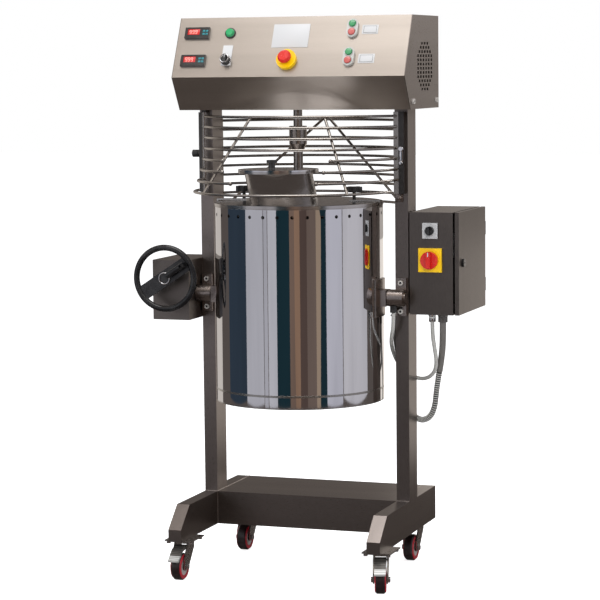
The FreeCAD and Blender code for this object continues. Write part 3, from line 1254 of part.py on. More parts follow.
FORK_SIDE = (
    ("-castor_trail - 14", "castor_radius - 9"), ("-castor_trail + 12", "castor_radius - 9"),
    ("22", "castor_height - 30"), ("24", "castor_height - 11"), ("-26", "castor_height - 11"),
    ("-castor_trail - 15", "castor_radius + 22"),
)
PEDAL_SIDE = (
    ("-18", "91"), ("-20", "102"), ("-32", "102.5"), ("-60", "93"), ("-92", "66"), ("-88", "61"),
    ("-56", "86"), ("-32", "91"),
)


def make_castor(name, x, y, angle, braked):
    """One castor: a fork with its axle, a wheel, and a pedal on a braked one."""
    turn = FreeCAD.Rotation(V(0, 0, 1), angle)
    half = "(tread_wide / 2 + fork_gap)"
    top = "castor_height - castor_plate_thick - swivel_gap"
    crown = cylinder(f"{name}_crown", "crown_radius", "crown_high", ("0", "0", f"{top} - crown_high"))
    sides = [padded(f"{name}_fork_{key}", "YZ_Plane", FORK_SIDE, "fork_thick", (start, "0", "0"))
             for key, start in (("right", half), ("left", f"-{half} - fork_thick"))]
    bridge = block(f"{name}_bridge", (f"2 * {half} + 2 * fork_thick", "crown_radius * 2 - fork_thick",
                                      "fork_thick"),
                   (f"-{half} - fork_thick", "-crown_radius", f"{top} - crown_high"))
    axle = cylinder(f"{name}_axle", "axle_radius", f"2 * {half} + 4 * fork_thick",
                    (f"-{half} - 2 * fork_thick", "-castor_trail", "castor_radius"), "X")
    pieces = [crown, bridge, *sides, axle]
    if braked:
        pieces.append(cylinder(f"{name}_pedal_pin", "pedal_pin_radius", f"2 * {half} + 2 * fork_thick",
                               (f"-{half} - fork_thick", "pedal_pin_y", "pedal_pin_z"), "X"))
    fork = fuse(f"{name}_fork_fuse", *pieces)
    fork.Placement = FreeCAD.Placement(V(number(x), number(y), 0), turn)
    node(f"castor_fork_{name}", fork)
    tyre = turned(f"{name}_tyre", (
        ("hub_wheel_radius", "-tread_wide / 2"), ("castor_radius - 5", "-tread_wide / 2"),
        ("castor_radius", "-tread_wide / 2 + 6"), ("castor_radius", "tread_wide / 2 - 6"),
        ("castor_radius - 5", "tread_wide / 2"), ("hub_wheel_radius", "tread_wide / 2"),
    ))
    hub = turned(f"{name}_hub", (
        ("axle_radius + running_gap", "-tread_wide / 2 - fork_gap / 2"),
        ("axle_radius + 6", "-tread_wide / 2 - fork_gap / 2"), ("axle_radius + 6", "-tread_wide / 2 + 3"),
        ("hub_wheel_radius", "-tread_wide / 2 + 2"), ("hub_wheel_radius", "tread_wide / 2 - 2"),
        ("axle_radius + 6", "tread_wide / 2 - 3"), ("axle_radius + 6", "tread_wide / 2 + fork_gap / 2"),
        ("axle_radius + running_gap", "tread_wide / 2 + fork_gap / 2"),
    ))
    wheel = gather(f"{name}_wheel_group", tyre, hub)
    centre = turn.multVec(V(0, -number("castor_trail"), 0))
    wheel.Placement = FreeCAD.Placement(
        V(number(x), number(y), number("castor_radius")) + centre, turn * TURNS["X"])
    node(f"castor_wheel_{name}", wheel)
    if braked:
        width = "tread_wide + 2 * fork_gap - 2 * pedal_gap"
        blank = padded(f"{name}_pedal_blank", "YZ_Plane", PEDAL_SIDE, width, (f"-({width}) / 2", "0", "0"))
        bore = cylinder(f"{name}_pedal_bore", "pedal_pin_radius + running_gap", "2 * tread_wide",
                        ("-tread_wide", "pedal_pin_y", "pedal_pin_z"), "X")
        pedal = cut(f"{name}_pedal_cut", blank, bore)
        pedal.Placement = FreeCAD.Placement(V(number(x), number(y), 0), turn)
        node(f"brake_pedal_{name}", pedal)


def make_castors():
    """Two braked castors in front and two plain ones behind."""
    for name, (x, y, angle) in CASTORS.items():
        make_castor(name, x, y, angle, name.startswith("front"))


def check_and_write():
    """Check every object and write each sub-part."""
    doc.recompute()
    for obj in doc.Objects:
        state = [word for word in obj.State if word in ("Invalid", "Error")]
        if state:
            raise RuntimeError(f"{obj.Name} is {state}")
    os.makedirs("parts", exist_ok=True)
    total = 0
    for obj in nodes:
        shape = obj.Shape
        if shape.isNull() or not shape.isValid() or not shape.Solids:
            raise RuntimeError(f"{obj.Label} has no valid shape")
        shape.exportStep(f"parts/{obj.Label}.step")
        facets = len(shape.tessellate(0.5)[1])
        total += facets
        print(f"{obj.Label}: {len(shape.Solids)} solid(s), volume {shape.Volume:.0f}, facets {facets}")
    print(f"{len(nodes)} nodes, {total} facets")


fill_sheet()
for make in (make_legs, make_castor_plates, make_base_tray, make_columns, make_head_shell,
             make_head_sides, make_head_floor, make_fasteners, make_controllers, make_lamp,
             make_selector, make_stop, make_twin_buttons, make_drive, make_stirrer,
             make_kettle_jacket, make_inner_pot, make_heating_elements, make_kettle_lid,
             make_chute_cover, make_lid_clamps, make_trunnions, make_bearings, make_gear_case,
             make_worm_wheel, make_worm, make_handwheel, make_crank_handle, make_gate,
             make_guard_fittings, make_rear_guard, make_index_plunger, make_cabinet,
             make_cabinet_door, make_switches, make_contactors, make_conduits, make_castors):
    make()
check_and_write()
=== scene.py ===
import json
import math

import bmesh
import bpy
from mathutils import Matrix, Vector


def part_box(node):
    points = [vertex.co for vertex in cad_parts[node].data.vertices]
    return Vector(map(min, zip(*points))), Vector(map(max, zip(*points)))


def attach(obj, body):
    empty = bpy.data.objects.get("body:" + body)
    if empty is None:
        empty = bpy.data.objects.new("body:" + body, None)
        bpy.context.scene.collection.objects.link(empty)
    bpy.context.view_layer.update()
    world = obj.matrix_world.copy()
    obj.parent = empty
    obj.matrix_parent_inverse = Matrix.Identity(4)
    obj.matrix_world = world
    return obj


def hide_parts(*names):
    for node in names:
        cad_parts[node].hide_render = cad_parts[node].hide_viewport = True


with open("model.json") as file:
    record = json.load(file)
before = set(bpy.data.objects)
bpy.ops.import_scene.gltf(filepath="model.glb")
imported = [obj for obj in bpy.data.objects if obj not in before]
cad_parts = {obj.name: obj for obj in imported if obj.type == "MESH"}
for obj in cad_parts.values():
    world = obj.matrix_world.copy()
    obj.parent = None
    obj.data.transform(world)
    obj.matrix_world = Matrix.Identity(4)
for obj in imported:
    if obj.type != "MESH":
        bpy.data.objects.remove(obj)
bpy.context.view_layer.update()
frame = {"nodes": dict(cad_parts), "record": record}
JOINTS = {joint["name"]: joint for joint in frame["record"]["behaviour"]["joints"]}
FRONT_CASTORS = ("front_left", "front_right")
CASTORS = (*FRONT_CASTORS, "rear_left", "rear_right")

bl_info = {
    "name": "Cream Cooker",
    "version": (1, 0, 0),
    "blender": (4, 5, 0),
    "location": "View3D > Sidebar > Cooker",
    "description": "Dresses a tilting cream cooker with its finishes, fittings and studio",
    "category": "Add Mesh",
}

# The panel's lower front edge and its rise and run to the top, in metres.
PANEL_FOOT = Vector((0.0, -0.100, 1.474))
PANEL_RISE = 0.174
PANEL_RUN = 0.082
PANEL_TILT = math.atan2(PANEL_RISE, PANEL_RUN)

# The conduits' routes, in metres: the same control points as the solids.
SMALL_ROUTE = (
    (0.388, 0.07, 0.753), (0.388, 0.07, 0.714), (0.393, 0.076, 0.672), (0.395, 0.09, 0.63),
    (0.381, 0.112, 0.594), (0.346, 0.13, 0.572), (0.302, 0.136, 0.58), (0.272, 0.12, 0.612),
    (0.262, 0.092, 0.65), (0.266, 0.054, 0.686), (0.278, 0.018, 0.712), (0.29, 0.0, 0.744),
    (0.29, 0.0, 0.7835),
)
LARGE_ROUTE = (
    (0.42, 0.07, 0.753), (0.42, 0.07, 0.712), (0.412, 0.092, 0.668), (0.4, 0.116, 0.626),
    (0.389, 0.128, 0.58), (0.381, 0.132, 0.536), (0.377, 0.133, 0.493), (0.359, 0.145, 0.457),
    (0.322, 0.17, 0.441), (0.286, 0.194, 0.457), (0.265, 0.209, 0.493), (0.261, 0.207, 0.541),
    (0.262, 0.189, 0.588), (0.265, 0.156, 0.625), (0.268, 0.118, 0.656), (0.2695, 0.092, 0.697),
    (0.2695, 0.092, 0.742),
)
SMALL_RADIUS = 0.0058
LARGE_RADIUS = 0.0080
SHEATH_RADIUS = 0.0096
RIB_RADIUS = 0.0086
RIB_WIRE = 0.0012
# The thick conduit shows its ribs below RIBS_TOP and to the right of RIBS_END.
RIBS_TOP = 0.6
RIBS_END = 0.3


def colour_prop(name, description, default):
    """A colour setting."""
    return bpy.props.FloatVectorProperty(
        name=name, description=description, subtype="COLOR", size=3, min=0, max=1, default=default)


def length_prop(name, description, default):
    """A length setting, in metres."""
    return bpy.props.FloatProperty(
        name=name, description=description, subtype="DISTANCE", unit="LENGTH", min=0, default=default)


class CookerColours(bpy.types.PropertyGroup):
    """Colours of the cooker's finishes."""

    frame_steel: colour_prop("Frame steel", "Brushed sheet and tube of the frame", (0.240, 0.204, 0.187))
    # The panel steel is paler and warmer than the frame steel: painted reflection of the bright ceiling on
    # the sloped panel.
    panel_steel: colour_prop("Panel steel", "Brushed sheet of the control panel", (0.50, 0.450, 0.405))
    cabinet: colour_prop("Cabinet", "Brushed cabinet and gear case", (0.185, 0.160, 0.145))
    bright_steel: colour_prop("Bright steel", "Machined and plated steel", (0.55, 0.54, 0.52))
    mirror_steel: colour_prop("Mirror steel", "Polished kettle jacket", (0.74, 0.74, 0.76))
    # The lid steel is darkened as painted shade: the head's dark underside mirrored in the polished lid.
    shaded_lid_steel: colour_prop("Lid steel", "Polished lid and inner pot", (0.50, 0.48, 0.47))
    black: colour_prop("Black", "Moulded black plastic", (0.012, 0.012, 0.013))
    red: colour_prop("Red", "Red buttons and knobs", (0.62, 0.015, 0.008))
    yellow: colour_prop("Yellow", "Yellow switch plates", (0.95, 0.60, 0.0))
    conduit: colour_prop("Conduit", "Pale sleeve of the thin conduit", (0.44, 0.435, 0.42))
    floor: colour_prop("Floor", "Studio floor", (0.93, 0.93, 0.93))


class CookerSizes(bpy.types.PropertyGroup):
    """Sizes of the pieces that dress the cooker."""

    plate: length_prop("Plate", "Thickness of the plates on the panel", 0.001)
    corrugation: length_prop("Corrugation", "Pitch of the large conduit's ribs", 0.0068)
    lid_roll: length_prop("Lid roll", "Radius of the lid's rolled rim", 0.0045)


# SHADER NODES

def shader_node(tree, kind, inputs=None, **settings):
    """A shader node with its settings, and its inputs linked or filled in."""
    node = tree.nodes.new(f"ShaderNode{kind}")
    for name, value in settings.items():
        setattr(node, name, value)
    for label, value in (inputs or {}).items():
        if isinstance(value, bpy.types.NodeSocket):
            tree.links.new(value, node.inputs[label])
        else:
            node.inputs[label].default_value = value
    return node


def noise(tree, vector, scale, detail, roughness=0.5):
    """A noise texture read at a vector."""
    inputs = {"Vector": vector, "Scale": scale, "Detail": detail, "Roughness": roughness}
    return shader_node(tree, "TexNoise", inputs).outputs["Fac"]


def mix_colour(tree, kind, factor, first, second):
    """A colour mix of two sockets or values."""
    inputs = {0: factor, 6: first, 7: second}
    return shader_node(tree, "Mix", inputs, data_type="RGBA", blend_type=kind).outputs[2]


def mix_shader(tree, factor, first, second):
    """A mix of two shaders."""
    return shader_node(tree, "MixShader", {0: factor, 1: first, 2: second}).outputs[0]


def map_range(tree, value, low, high, to_low=0.0, to_high=1.0):
    """A value moved from one range to another; the ends may be sockets."""
    inputs = {"Value": value, "From Min": low, "From Max": high, "To Min": to_low, "To Max": to_high}
    return shader_node(tree, "MapRange", inputs).outputs["Result"]


def axis_mask(tree, vector, axis, edge, soft=0.0002):
    """1 where a coordinate is above an edge, with a narrow ramp."""
    split = shader_node(tree, "SeparateXYZ", {0: vector})
    return map_range(tree, split.outputs[axis], edge - soft, edge + soft)


# SHARED EFFECTS

def new_group(name, inputs):
    """A group that gives a colour, a roughness and a height: its tree, given sockets and results."""
    tree = bpy.data.node_groups.new(name, "ShaderNodeTree")
    for label, kind, value in inputs:
        socket = tree.interface.new_socket(name=label, in_out="INPUT", socket_type=f"NodeSocket{kind}")
        if value is not None:
            socket.default_value = value
    for label, kind in (("Colour", "Color"), ("Roughness", "Float"), ("Height", "Float")):
        tree.interface.new_socket(name=label, in_out="OUTPUT", socket_type=f"NodeSocket{kind}")
    return tree, tree.nodes.new("NodeGroupInput").outputs, tree.nodes.new("NodeGroupOutput").inputs


def brushed_grain_group():
    """Fine brushing lines with a slow cloud of tone over them."""
    tree, given, result = new_group("BrushedGrain", (
        ("Vector", "Vector", None), ("Colour", "Color", (0.5, 0.5, 0.5, 1)), ("Grain", "Float", 0.1),
        ("Cloud", "Float", 0.1), ("Rough Low", "Float", 0.25), ("Rough High", "Float", 0.4)))
    lines = noise(tree, given["Vector"], 220, 4, 0.6)
    cloud = noise(tree, given["Vector"], 2.2, 3)
    dark = mix_colour(tree, "MULTIPLY", given["Grain"], given["Colour"], (0.35, 0.35, 0.35, 1))
    light = mix_colour(tree, "SCREEN", given["Grain"], given["Colour"], (0.45, 0.45, 0.45, 1))
    tone = mix_colour(tree, "MIX", lines, dark, light)
    shade = mix_colour(tree, "MULTIPLY", given["Cloud"], tone, (0.45, 0.43, 0.42, 1))
    blend = map_range(tree, cloud, 0.3, 0.7)
    tree.links.new(mix_colour(tree, "MIX", blend, shade, tone), result["Colour"])
    rough = map_range(tree, lines, 0.3, 0.7, given["Rough Low"], given["Rough High"])
    tree.links.new(rough, result["Roughness"])
    tree.links.new(lines, result["Height"])
    return tree


def moulded_skin_group():
    """The fine orange-peel and handling marks of a moulded or painted skin."""
    tree, given, result = new_group("MouldedSkin", (
        ("Vector", "Vector", None), ("Colour", "Color", (0.1, 0.1, 0.1, 1)), ("Mottle", "Float", 0.2),
        ("Rough Low", "Float", 0.3), ("Rough High", "Float", 0.5), ("Grain Scale", "Float", 900.0)))
    grain = noise(tree, given["Vector"], given["Grain Scale"], 2)
    marks = noise(tree, given["Vector"], 26, 5, 0.62)
    worn = mix_colour(tree, "SCREEN", given["Mottle"], given["Colour"], (0.16, 0.16, 0.16, 1))
    blend = map_range(tree, marks, 0.45, 0.75)
    tree.links.new(mix_colour(tree, "MIX", blend, given["Colour"], worn), result["Colour"])
    rough = map_range(tree, marks, 0.3, 0.7, given["Rough Low"], given["Rough High"])
    tree.links.new(rough, result["Roughness"])
    tree.links.new(grain, result["Height"])
    return tree


# FINISHES

GROUPS = {}
MATERIALS = {}


def start_material(name, stretch=(1, 1, 1)):
    """A material whose pattern reads the object's own coordinates: its tree, shader and vector."""
    material = bpy.data.materials.new(name)
    material.use_nodes = True
    tree = material.node_tree
    place = shader_node(tree, "TexCoord").outputs["Object"]
    mapping = shader_node(tree, "Mapping", {"Vector": place, "Scale": stretch})
    MATERIALS[name] = material
    return tree, tree.nodes["Principled BSDF"], mapping.outputs["Vector"]


def plug_group(tree, shader, group, vector, colour, values, bump, distance=0.0002):
    """Feed a shader from a shared group; the colour is a value, a socket or a function that makes one."""
    if callable(colour):
        colour = colour(tree, vector)
    if isinstance(colour, tuple):
        colour = (*colour, 1)
    node = shader_node(tree, "Group", {"Vector": vector, "Colour": colour, **values}, node_tree=GROUPS[group])
    tree.links.new(node.outputs["Colour"], shader.inputs["Base Color"])
    tree.links.new(node.outputs["Roughness"], shader.inputs["Roughness"])
    inputs = {"Strength": bump, "Distance": distance, "Height": node.outputs["Height"]}
    relief = shader_node(tree, "Bump", inputs)
    tree.links.new(relief.outputs["Normal"], shader.inputs["Normal"])
    return node


def brushed(name, colour, stretch, rough=(0.26, 0.4), grain=0.22, cloud=0.25, bump=0.12):
    """Brushed metal with its lines along the axis that is stretched least."""
    tree, shader, vector = start_material(name, stretch)
    shader.inputs["Metallic"].default_value = 1.0
    values = {"Grain": grain, "Cloud": cloud, "Rough Low": rough[0], "Rough High": rough[1]}
    plug_group(tree, shader, "BrushedGrain", vector, colour, values, bump)


def moulded(name, colour, rough=(0.3, 0.5), mottle=0.25, bump=0.08, coat=0.0, grain=900.0):
    """Moulded plastic or paint."""
    tree, shader, vector = start_material(name)
    shader.inputs["Coat Weight"].default_value = coat
    shader.inputs["Coat Roughness"].default_value = 0.12
    values = {"Mottle": mottle, "Rough Low": rough[0], "Rough High": rough[1], "Grain Scale": grain}
    plug_group(tree, shader, "MouldedSkin", vector, colour, values, bump)
    return shader


def glowing(name, colour, strength):
    """A lit display or lamp, with cells that vary in brightness."""
    tree, shader, vector = start_material(name)
    values = {"Mottle": 0.3, "Rough Low": 0.15, "Rough High": 0.3, "Grain Scale": 500.0}
    node = plug_group(tree, shader, "MouldedSkin", vector, colour, values, 0.05, 0.0001)
    tree.links.new(node.outputs["Colour"], shader.inputs["Emission Color"])
    shader.inputs["Emission Strength"].default_value = strength


def build_materials(colours):
    """All finishes that more than one kind of piece can wear."""
    GROUPS["BrushedGrain"] = brushed_grain_group()
    GROUPS["MouldedSkin"] = moulded_skin_group()
    steel = tuple(colours.frame_steel)
    brushed("tube_steel", steel, (6, 6, 0.35))
    brushed("sheet_steel", steel, (0.35, 6, 6))
    brushed("leg_steel", steel, (6, 0.35, 6))
    # The panel sheet's paler tint is painted reflection of the ceiling over the slope.
    brushed("lit_panel_sheet", tuple(colours.panel_steel), (0.3, 6, 6), (0.28, 0.42), 0.16, 0.3)
    brushed("cabinet_sheet", tuple(colours.cabinet), (5, 5, 0.4), (0.3, 0.46), 0.2, 0.2)
    brushed("bright_steel", tuple(colours.bright_steel), (3, 3, 3), (0.16, 0.34), 0.2, 0.3)
    brushed("rod_steel", (0.44, 0.41, 0.38), (4, 4, 4), (0.16, 0.3), 0.15, 0.3, 0.05)
    brushed("machined_steel", (0.42, 0.36, 0.33), (3, 3, 3), (0.2, 0.36), 0.25, 0.4, 0.15)
    brushed("dark_steel", (0.05, 0.046, 0.043), (4, 4, 4), (0.3, 0.45), 0.2, 0.2, 0.1)
    brushed("shaft_steel", (0.38, 0.34, 0.31), (5, 5, 0.5), (0.14, 0.28), 0.2, 0.3, 0.08)
    brushed("mirror_jacket", tuple(colours.mirror_steel), (8, 8, 0.2), (0.015, 0.05), 0.04, 0.06, 0.01)
    # Lid, inner pot and rolled rim wear the darkened lid steel: painted shade from the head above.
    brushed("shaded_polished_lid", tuple(colours.shaded_lid_steel), (5, 5, 5), (0.15, 0.26), 0.06, 0.12, 0.03)
    brushed("element_sheath", (0.14, 0.13, 0.12), (5, 5, 5), (0.4, 0.6), 0.3, 0.4, 0.2)
    brushed("bronze", (0.5, 0.3, 0.12), (5, 5, 5), (0.25, 0.4), 0.2, 0.3, 0.1)
    brushed("chrome_trim", (0.82, 0.82, 0.84), (5, 5, 5), (0.05, 0.12), 0.05, 0.1, 0.02)
    # The weld beads are real, but their pale tint is painted edge highlight.
    brushed("weld_bead", (0.62, 0.56, 0.52), (9, 9, 9), (0.2, 0.4), 0.3, 0.4, 0.4)
    moulded("black_moulding", tuple(colours.black), (0.28, 0.45), 0.3, 0.1)
    moulded("black_satin", (0.006, 0.006, 0.007), (0.15, 0.26), 0.12, 0.05)
    moulded("black_gloss", tuple(colours.black), (0.12, 0.22), 0.15, 0.03, 0.6)
    moulded("red_moulding", tuple(colours.red), (0.2, 0.34), 0.15, 0.04, 0.4)
    moulded("device_grey", (0.55, 0.55, 0.53), (0.35, 0.5), 0.2, 0.08)
    # White plates and marks are painted mid grey: painted shade over their white.
    moulded("shaded_white_plate", (0.56, 0.56, 0.57), (0.3, 0.42), 0.05, 0.04)
    moulded("teal_keys", (0.02, 0.22, 0.26), (0.3, 0.4), 0.2, 0.05)
    # The clear boot is painted opaque pale grey as painted highlight: the whitish sheen on its surface.
    moulded("boot_sheen_pale", (0.50, 0.50, 0.48), (0.12, 0.25), 0.1, 0.03, 0.6)
    moulded("boot_green", (0.05, 0.27, 0.11), (0.12, 0.25), 0.35, 0.03, 0.6)
    moulded("boot_red", (0.50, 0.10, 0.09), (0.12, 0.25), 0.35, 0.03, 0.6)
    # The ribbed conduit's sleeve is near-black: painted shade in the valleys between its ribs.
    moulded("conduit_sleeve", (0.016, 0.015, 0.014), (0.32, 0.5), 0.25, 0.1)
    moulded("conduit_pale", tuple(colours.conduit), (0.22, 0.36), 0.12, 0.05, 0.4)
    moulded("conduit_dark", (0.15, 0.14, 0.132), (0.3, 0.45), 0.15, 0.08, 0.1)
    moulded("rib_pale", (0.66, 0.65, 0.63), (0.22, 0.36), 0.1, 0.05, 0.4)
    # The bolts are a pale non-metal: painted highlight standing in for the bright reflections of their steel
    # heads.
    moulded("bolt_pale_glint", (0.50, 0.475, 0.45), (0.22, 0.36), 0.2, 0.05, 0.3)
    glowing("display_red", (0.42, 0.010, 0.010), 0.5)
    glowing("display_pale", (0.95, 0.42, 0.36), 0.7)
    glowing("lamp_green", (0.01, 0.30, 0.10), 0.1)


# MODELLING HELPERS

def select_only(obj):
    """Leave one object selected and active."""
    bpy.ops.object.select_all(action="DESELECT")
    obj.select_set(True)
    bpy.context.view_layer.objects.active = obj


def settle(obj):
    """Move an object's place into its mesh."""
    select_only(obj)
    bpy.ops.object.transform_apply(location=True, rotation=True, scale=True)
    return obj


def smoothed(obj):
    """Shade an object smooth but for its sharp edges."""
    bpy.ops.object.shade_smooth_by_angle(angle=math.radians(35))
    return obj


def bevelled(obj, width, segments=2):
    """Round an object's edges and shade it."""
    select_only(obj)
    modifier = obj.modifiers.new("edge", "BEVEL")
    modifier.width = width
    modifier.segments = segments
    modifier.limit_method = "ANGLE"
    modifier.angle_limit = math.radians(40)
    bpy.ops.object.modifier_apply(modifier=modifier.name)
    return smoothed(obj)


def dress(obj, material):
    """Give an object its one material."""
    obj.data.materials.clear()
    obj.data.materials.append(MATERIALS[material])


def finish_piece(obj, name, material, body, place=None):
    """Place, name and dress a piece, and hang it on its body."""
    if place is not None:
        obj.data.transform(place)
    obj.name = name
    obj.data.name = name
    dress(obj, material)
    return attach(obj, body)


def block(size, centre=(0, 0, 0), edge=0.0008, segments=2):
    """A block with rounded edges."""
    bpy.ops.mesh.primitive_cube_add(size=1, location=centre)
    obj = bpy.context.active_object
    obj.scale = size
    settle(obj)
    return bevelled(obj, min(edge, min(size) * 0.45), segments)


def turned_piece(radius, height, steps=(), sides=48, centre=(0, 0, 0), edge=0.0005):
    """A round piece, its top shaped by inset and lift steps of (inset, lift)."""
    bpy.ops.mesh.primitive_cylinder_add(vertices=sides, radius=radius, depth=height,
                                        location=(centre[0], centre[1], centre[2] + height / 2))
    obj = settle(bpy.context.active_object)
    bpy.ops.object.mode_set(mode="EDIT")
    bpy.ops.mesh.select_mode(type="FACE")
    for inset, lift in steps:
        bpy.ops.mesh.select_all(action="DESELECT")
        select_top(obj)
        bpy.ops.mesh.inset(thickness=inset, depth=0)
        bpy.ops.transform.translate(value=(0, 0, lift))
    bpy.ops.object.mode_set(mode="OBJECT")
    return bevelled(obj, edge)


def select_top(obj):
    """In edit mode, select the one face that ends a turned piece's last step."""
    mesh = bmesh.from_edit_mesh(obj.data)
    mesh.faces.ensure_lookup_table()
    caps = [face for face in mesh.faces if face.normal.z > 0.99 and len(face.verts) > 8]
    for face in mesh.faces:
        face.select_set(False)
    if caps:
        caps[-1].select_set(True)
    mesh.select_flush_mode()
    bmesh.update_edit_mesh(obj.data)


def torus(major, minor, centre=(0, 0, 0), sides=72, ring=12):
    """A level ring."""
    bpy.ops.mesh.primitive_torus_add(major_radius=major, minor_radius=minor, major_segments=sides,
                                     minor_segments=ring, location=centre)
    obj = settle(bpy.context.active_object)
    bpy.ops.object.shade_smooth()
    return obj


def joined(objects):
    """Join meshes into one object."""
    bpy.ops.object.select_all(action="DESELECT")
    for obj in objects:
        obj.select_set(True)
    bpy.context.view_layer.objects.active = objects[0]
    bpy.ops.object.join()
    return bpy.context.active_object


def copied(obj):
    """A copy with its own mesh or curve."""
    twin = obj.copy()
    twin.data = obj.data.copy()
    bpy.context.scene.collection.objects.link(twin)
    return twin


def added(name, data):
    """A new object in the scene."""
    obj = bpy.data.objects.new(name, data)
    bpy.context.scene.collection.objects.link(obj)
    return obj


def aimed(place, direction):
    """The matrix that takes a piece to a place, its +Z along a direction."""
    return Matrix.Translation(place) @ direction.to_track_quat("Z", "Y").to_matrix().to_4x4()


def facing_front(x, y, z):
    """The matrix that takes a piece to a place, its +Z to the front."""
    return Matrix.Translation((x, y, z)) @ Matrix.Rotation(math.pi / 2, 4, "X")


def panel_place(x, along, out=0.0):
    """The matrix that seats a piece on the sloped panel, its +Z out of the panel."""
    length = math.hypot(PANEL_RISE, PANEL_RUN)
    y = PANEL_FOOT.y + (along * PANEL_RUN - out * PANEL_RISE) / length
    z = PANEL_FOOT.z + (along * PANEL_RISE + out * PANEL_RUN) / length
    return Matrix.Translation((x, y, z)) @ Matrix.Rotation(PANEL_TILT, 4, "X")


# PIECES

class PieceOperator:
    """What all piece operators share."""

    bl_options = {"REGISTER", "UNDO"}


class COOKER_OT_finishes(PieceOperator, bpy.types.Operator):
    """Make the finishes and put them on the machined and folded parts"""

    bl_idname = "cooker.finishes"
    bl_label = "Finishes"

    NODES = {
        "leg_steel": ("legs", "head_sides"),
        "sheet_steel": ("base_tray", "head_floor"),
        "tube_steel": ("columns",),
        "lit_panel_sheet": ("head_shell",),
        "cabinet_sheet": ("gear_motor", "gear_case", "cabinet_body", "cabinet_door"),
        "bright_steel": ("castor_plates", "clamp_straps", "worm_shaft"),
        "bolt_pale_glint": ("frame_bolts",),
        "machined_steel": ("bearing_blocks", "trunnions"),
        "dark_steel": ("guard_fittings",),
        "rod_steel": ("rear_guard", "guard_gate"),
        "shaft_steel": ("drive_shaft", "stirrer"),
        "mirror_jacket": ("kettle_jacket",),
        "shaded_polished_lid": ("inner_pot", "kettle_lid"),
        "element_sheath": ("heating_elements",),
        "bronze": ("worm_wheel",),
        "black_gloss": ("temperature_controllers",),
        "black_satin": ("handwheel", "crank_handle", "door_lock"),
        "black_moulding": ("selector_knob", "left_clamp_knob", "right_clamp_knob", "plunger_knob",
                           "small_switch_knob"),
        "red_moulding": ("stop_button", "main_switch_knob"),
        "lamp_green": ("indicator_lamp",),
        "boot_sheen_pale": ("button_housings",),
        "boot_green": ("upper_start_button", "lower_start_button"),
        "boot_red": ("upper_stop_button", "lower_stop_button"),
        "device_grey": ("cabinet_gear",),
    }
    # A castor wheel from its axle outwards: each tint with the radius where it starts.
    WHEEL_TINTS = (
        ((0.012, 0.012, 0.012, 1), 0.0),
        ((0.42, 0.41, 0.40, 1), 0.0115),
        ((0.42, 0.012, 0.026, 1), 0.0255),
        ((0.014, 0.006, 0.007, 1), 0.0368),
    )
    WHEEL_BLEND = 0.0004
    PEDAL_PITCH = 0.0021
    PEDAL_FOOT = 0.42
    # Edges between the pieces of one node, along x and z: the panel's left and right devices, the
    # cabinet's devices, its upper plate, its glands, the larger gland, the cover's sheet.
    RIGHT_OF_LEGEND = -0.1
    CABINET_START = 0.2
    SMALL_PLATE_FOOT = 0.985
    # The small plate's rear depth, painted dark as the shadow behind the plate.
    SMALL_PLATE_DEPTH = 0.0035
    CABINET_GLANDS = 0.35
    LARGE_GLAND = 0.404
    COVER_SHEET = 0.0042

    def execute(self, context):
        build_materials(context.scene.cooker_colours)
        self.yellow = (*context.scene.cooker_colours.yellow, 1)
        self.cover_material()
        moulded("switch_plate_set", self.plate_colour, (0.25, 0.4), 0.05, 0.05)
        moulded("gland_set", self.gland_colour, (0.22, 0.4), 0.15, 0.08, grain=800.0)
        nodes = frame["nodes"]
        for material, names in self.NODES.items():
            for name in names:
                dress(nodes[name], material)
        for castor in CASTORS:
            self.wheel_material(castor)
            dress(nodes[f"castor_wheel_{castor}"], f"wheel_{castor}")
            dress(nodes[f"castor_fork_{castor}"], "bright_steel")
        for castor in FRONT_CASTORS:
            self.pedal_material(castor)
            dress(nodes[f"brake_pedal_{castor}"], f"pedal_{castor}")
        dress(nodes["switch_plates"], "switch_plate_set")
        dress(nodes["cable_glands"], "gland_set")
        dress(nodes["chute_cover"], "chute_cover_set")
        return {"FINISHED"}

    def wheel_material(self, castor):
        """Dark tread, red shoulder, pale hub and dark bearing cap, by distance from the axle."""
        joint = JOINTS[f"castor_roll_{castor}"]

        def colour(tree, vector):
            offset = shader_node(tree, "VectorMath", {0: vector, 1: joint["pos_m"]}, operation="SUBTRACT")
            across = shader_node(tree, "VectorMath", {0: offset.outputs[0], 1: joint["axis"]},
                                 operation="CROSS_PRODUCT")
            radius = shader_node(tree, "VectorMath", {0: across.outputs[0]}, operation="LENGTH")
            tone = self.WHEEL_TINTS[0][0]
            for tint, edge in self.WHEEL_TINTS[1:]:
                mask = map_range(tree, radius.outputs["Value"], edge - self.WHEEL_BLEND,
                                 edge + self.WHEEL_BLEND)
                tone = mix_colour(tree, "MIX", mask, tone, tint)
            return tone

        moulded(f"wheel_{castor}", colour, mottle=0.2, bump=0.1)

    def pedal_material(self, castor):
        """Pale ribs across a pedal's foot and dark ones across its bracket, by height, with painted shade in
        the grooves between ribs.
        """
        low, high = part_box(f"brake_pedal_{castor}")

        def colour(tree, vector):
            height = shader_node(tree, "SeparateXYZ", {0: vector}).outputs[2]
            wave = shader_node(tree, "Math", {0: height, 1: self.PEDAL_PITCH}, operation="PINGPONG")
            # Painted shade: each groove is darker than the ribs beside it.
            groove_shade = map_range(tree, wave.outputs[0], 0.0002, 0.0009)
            upper = axis_mask(tree, vector, 2, low.z + self.PEDAL_FOOT * (high.z - low.z), 0.0006)
            pale = mix_colour(tree, "MIX", groove_shade, (0.20, 0.20, 0.19, 1), (0.60, 0.60, 0.59, 1))
            dark = mix_colour(tree, "MIX", groove_shade, (0.02, 0.019, 0.018, 1), (0.13, 0.12, 0.11, 1))
            return mix_colour(tree, "MIX", upper, pale, dark)

        shader = moulded(f"pedal_{castor}", colour, (0.3, 0.45), 0.3, 0.1, grain=700.0)
        shader.inputs["Metallic"].default_value = 0.4

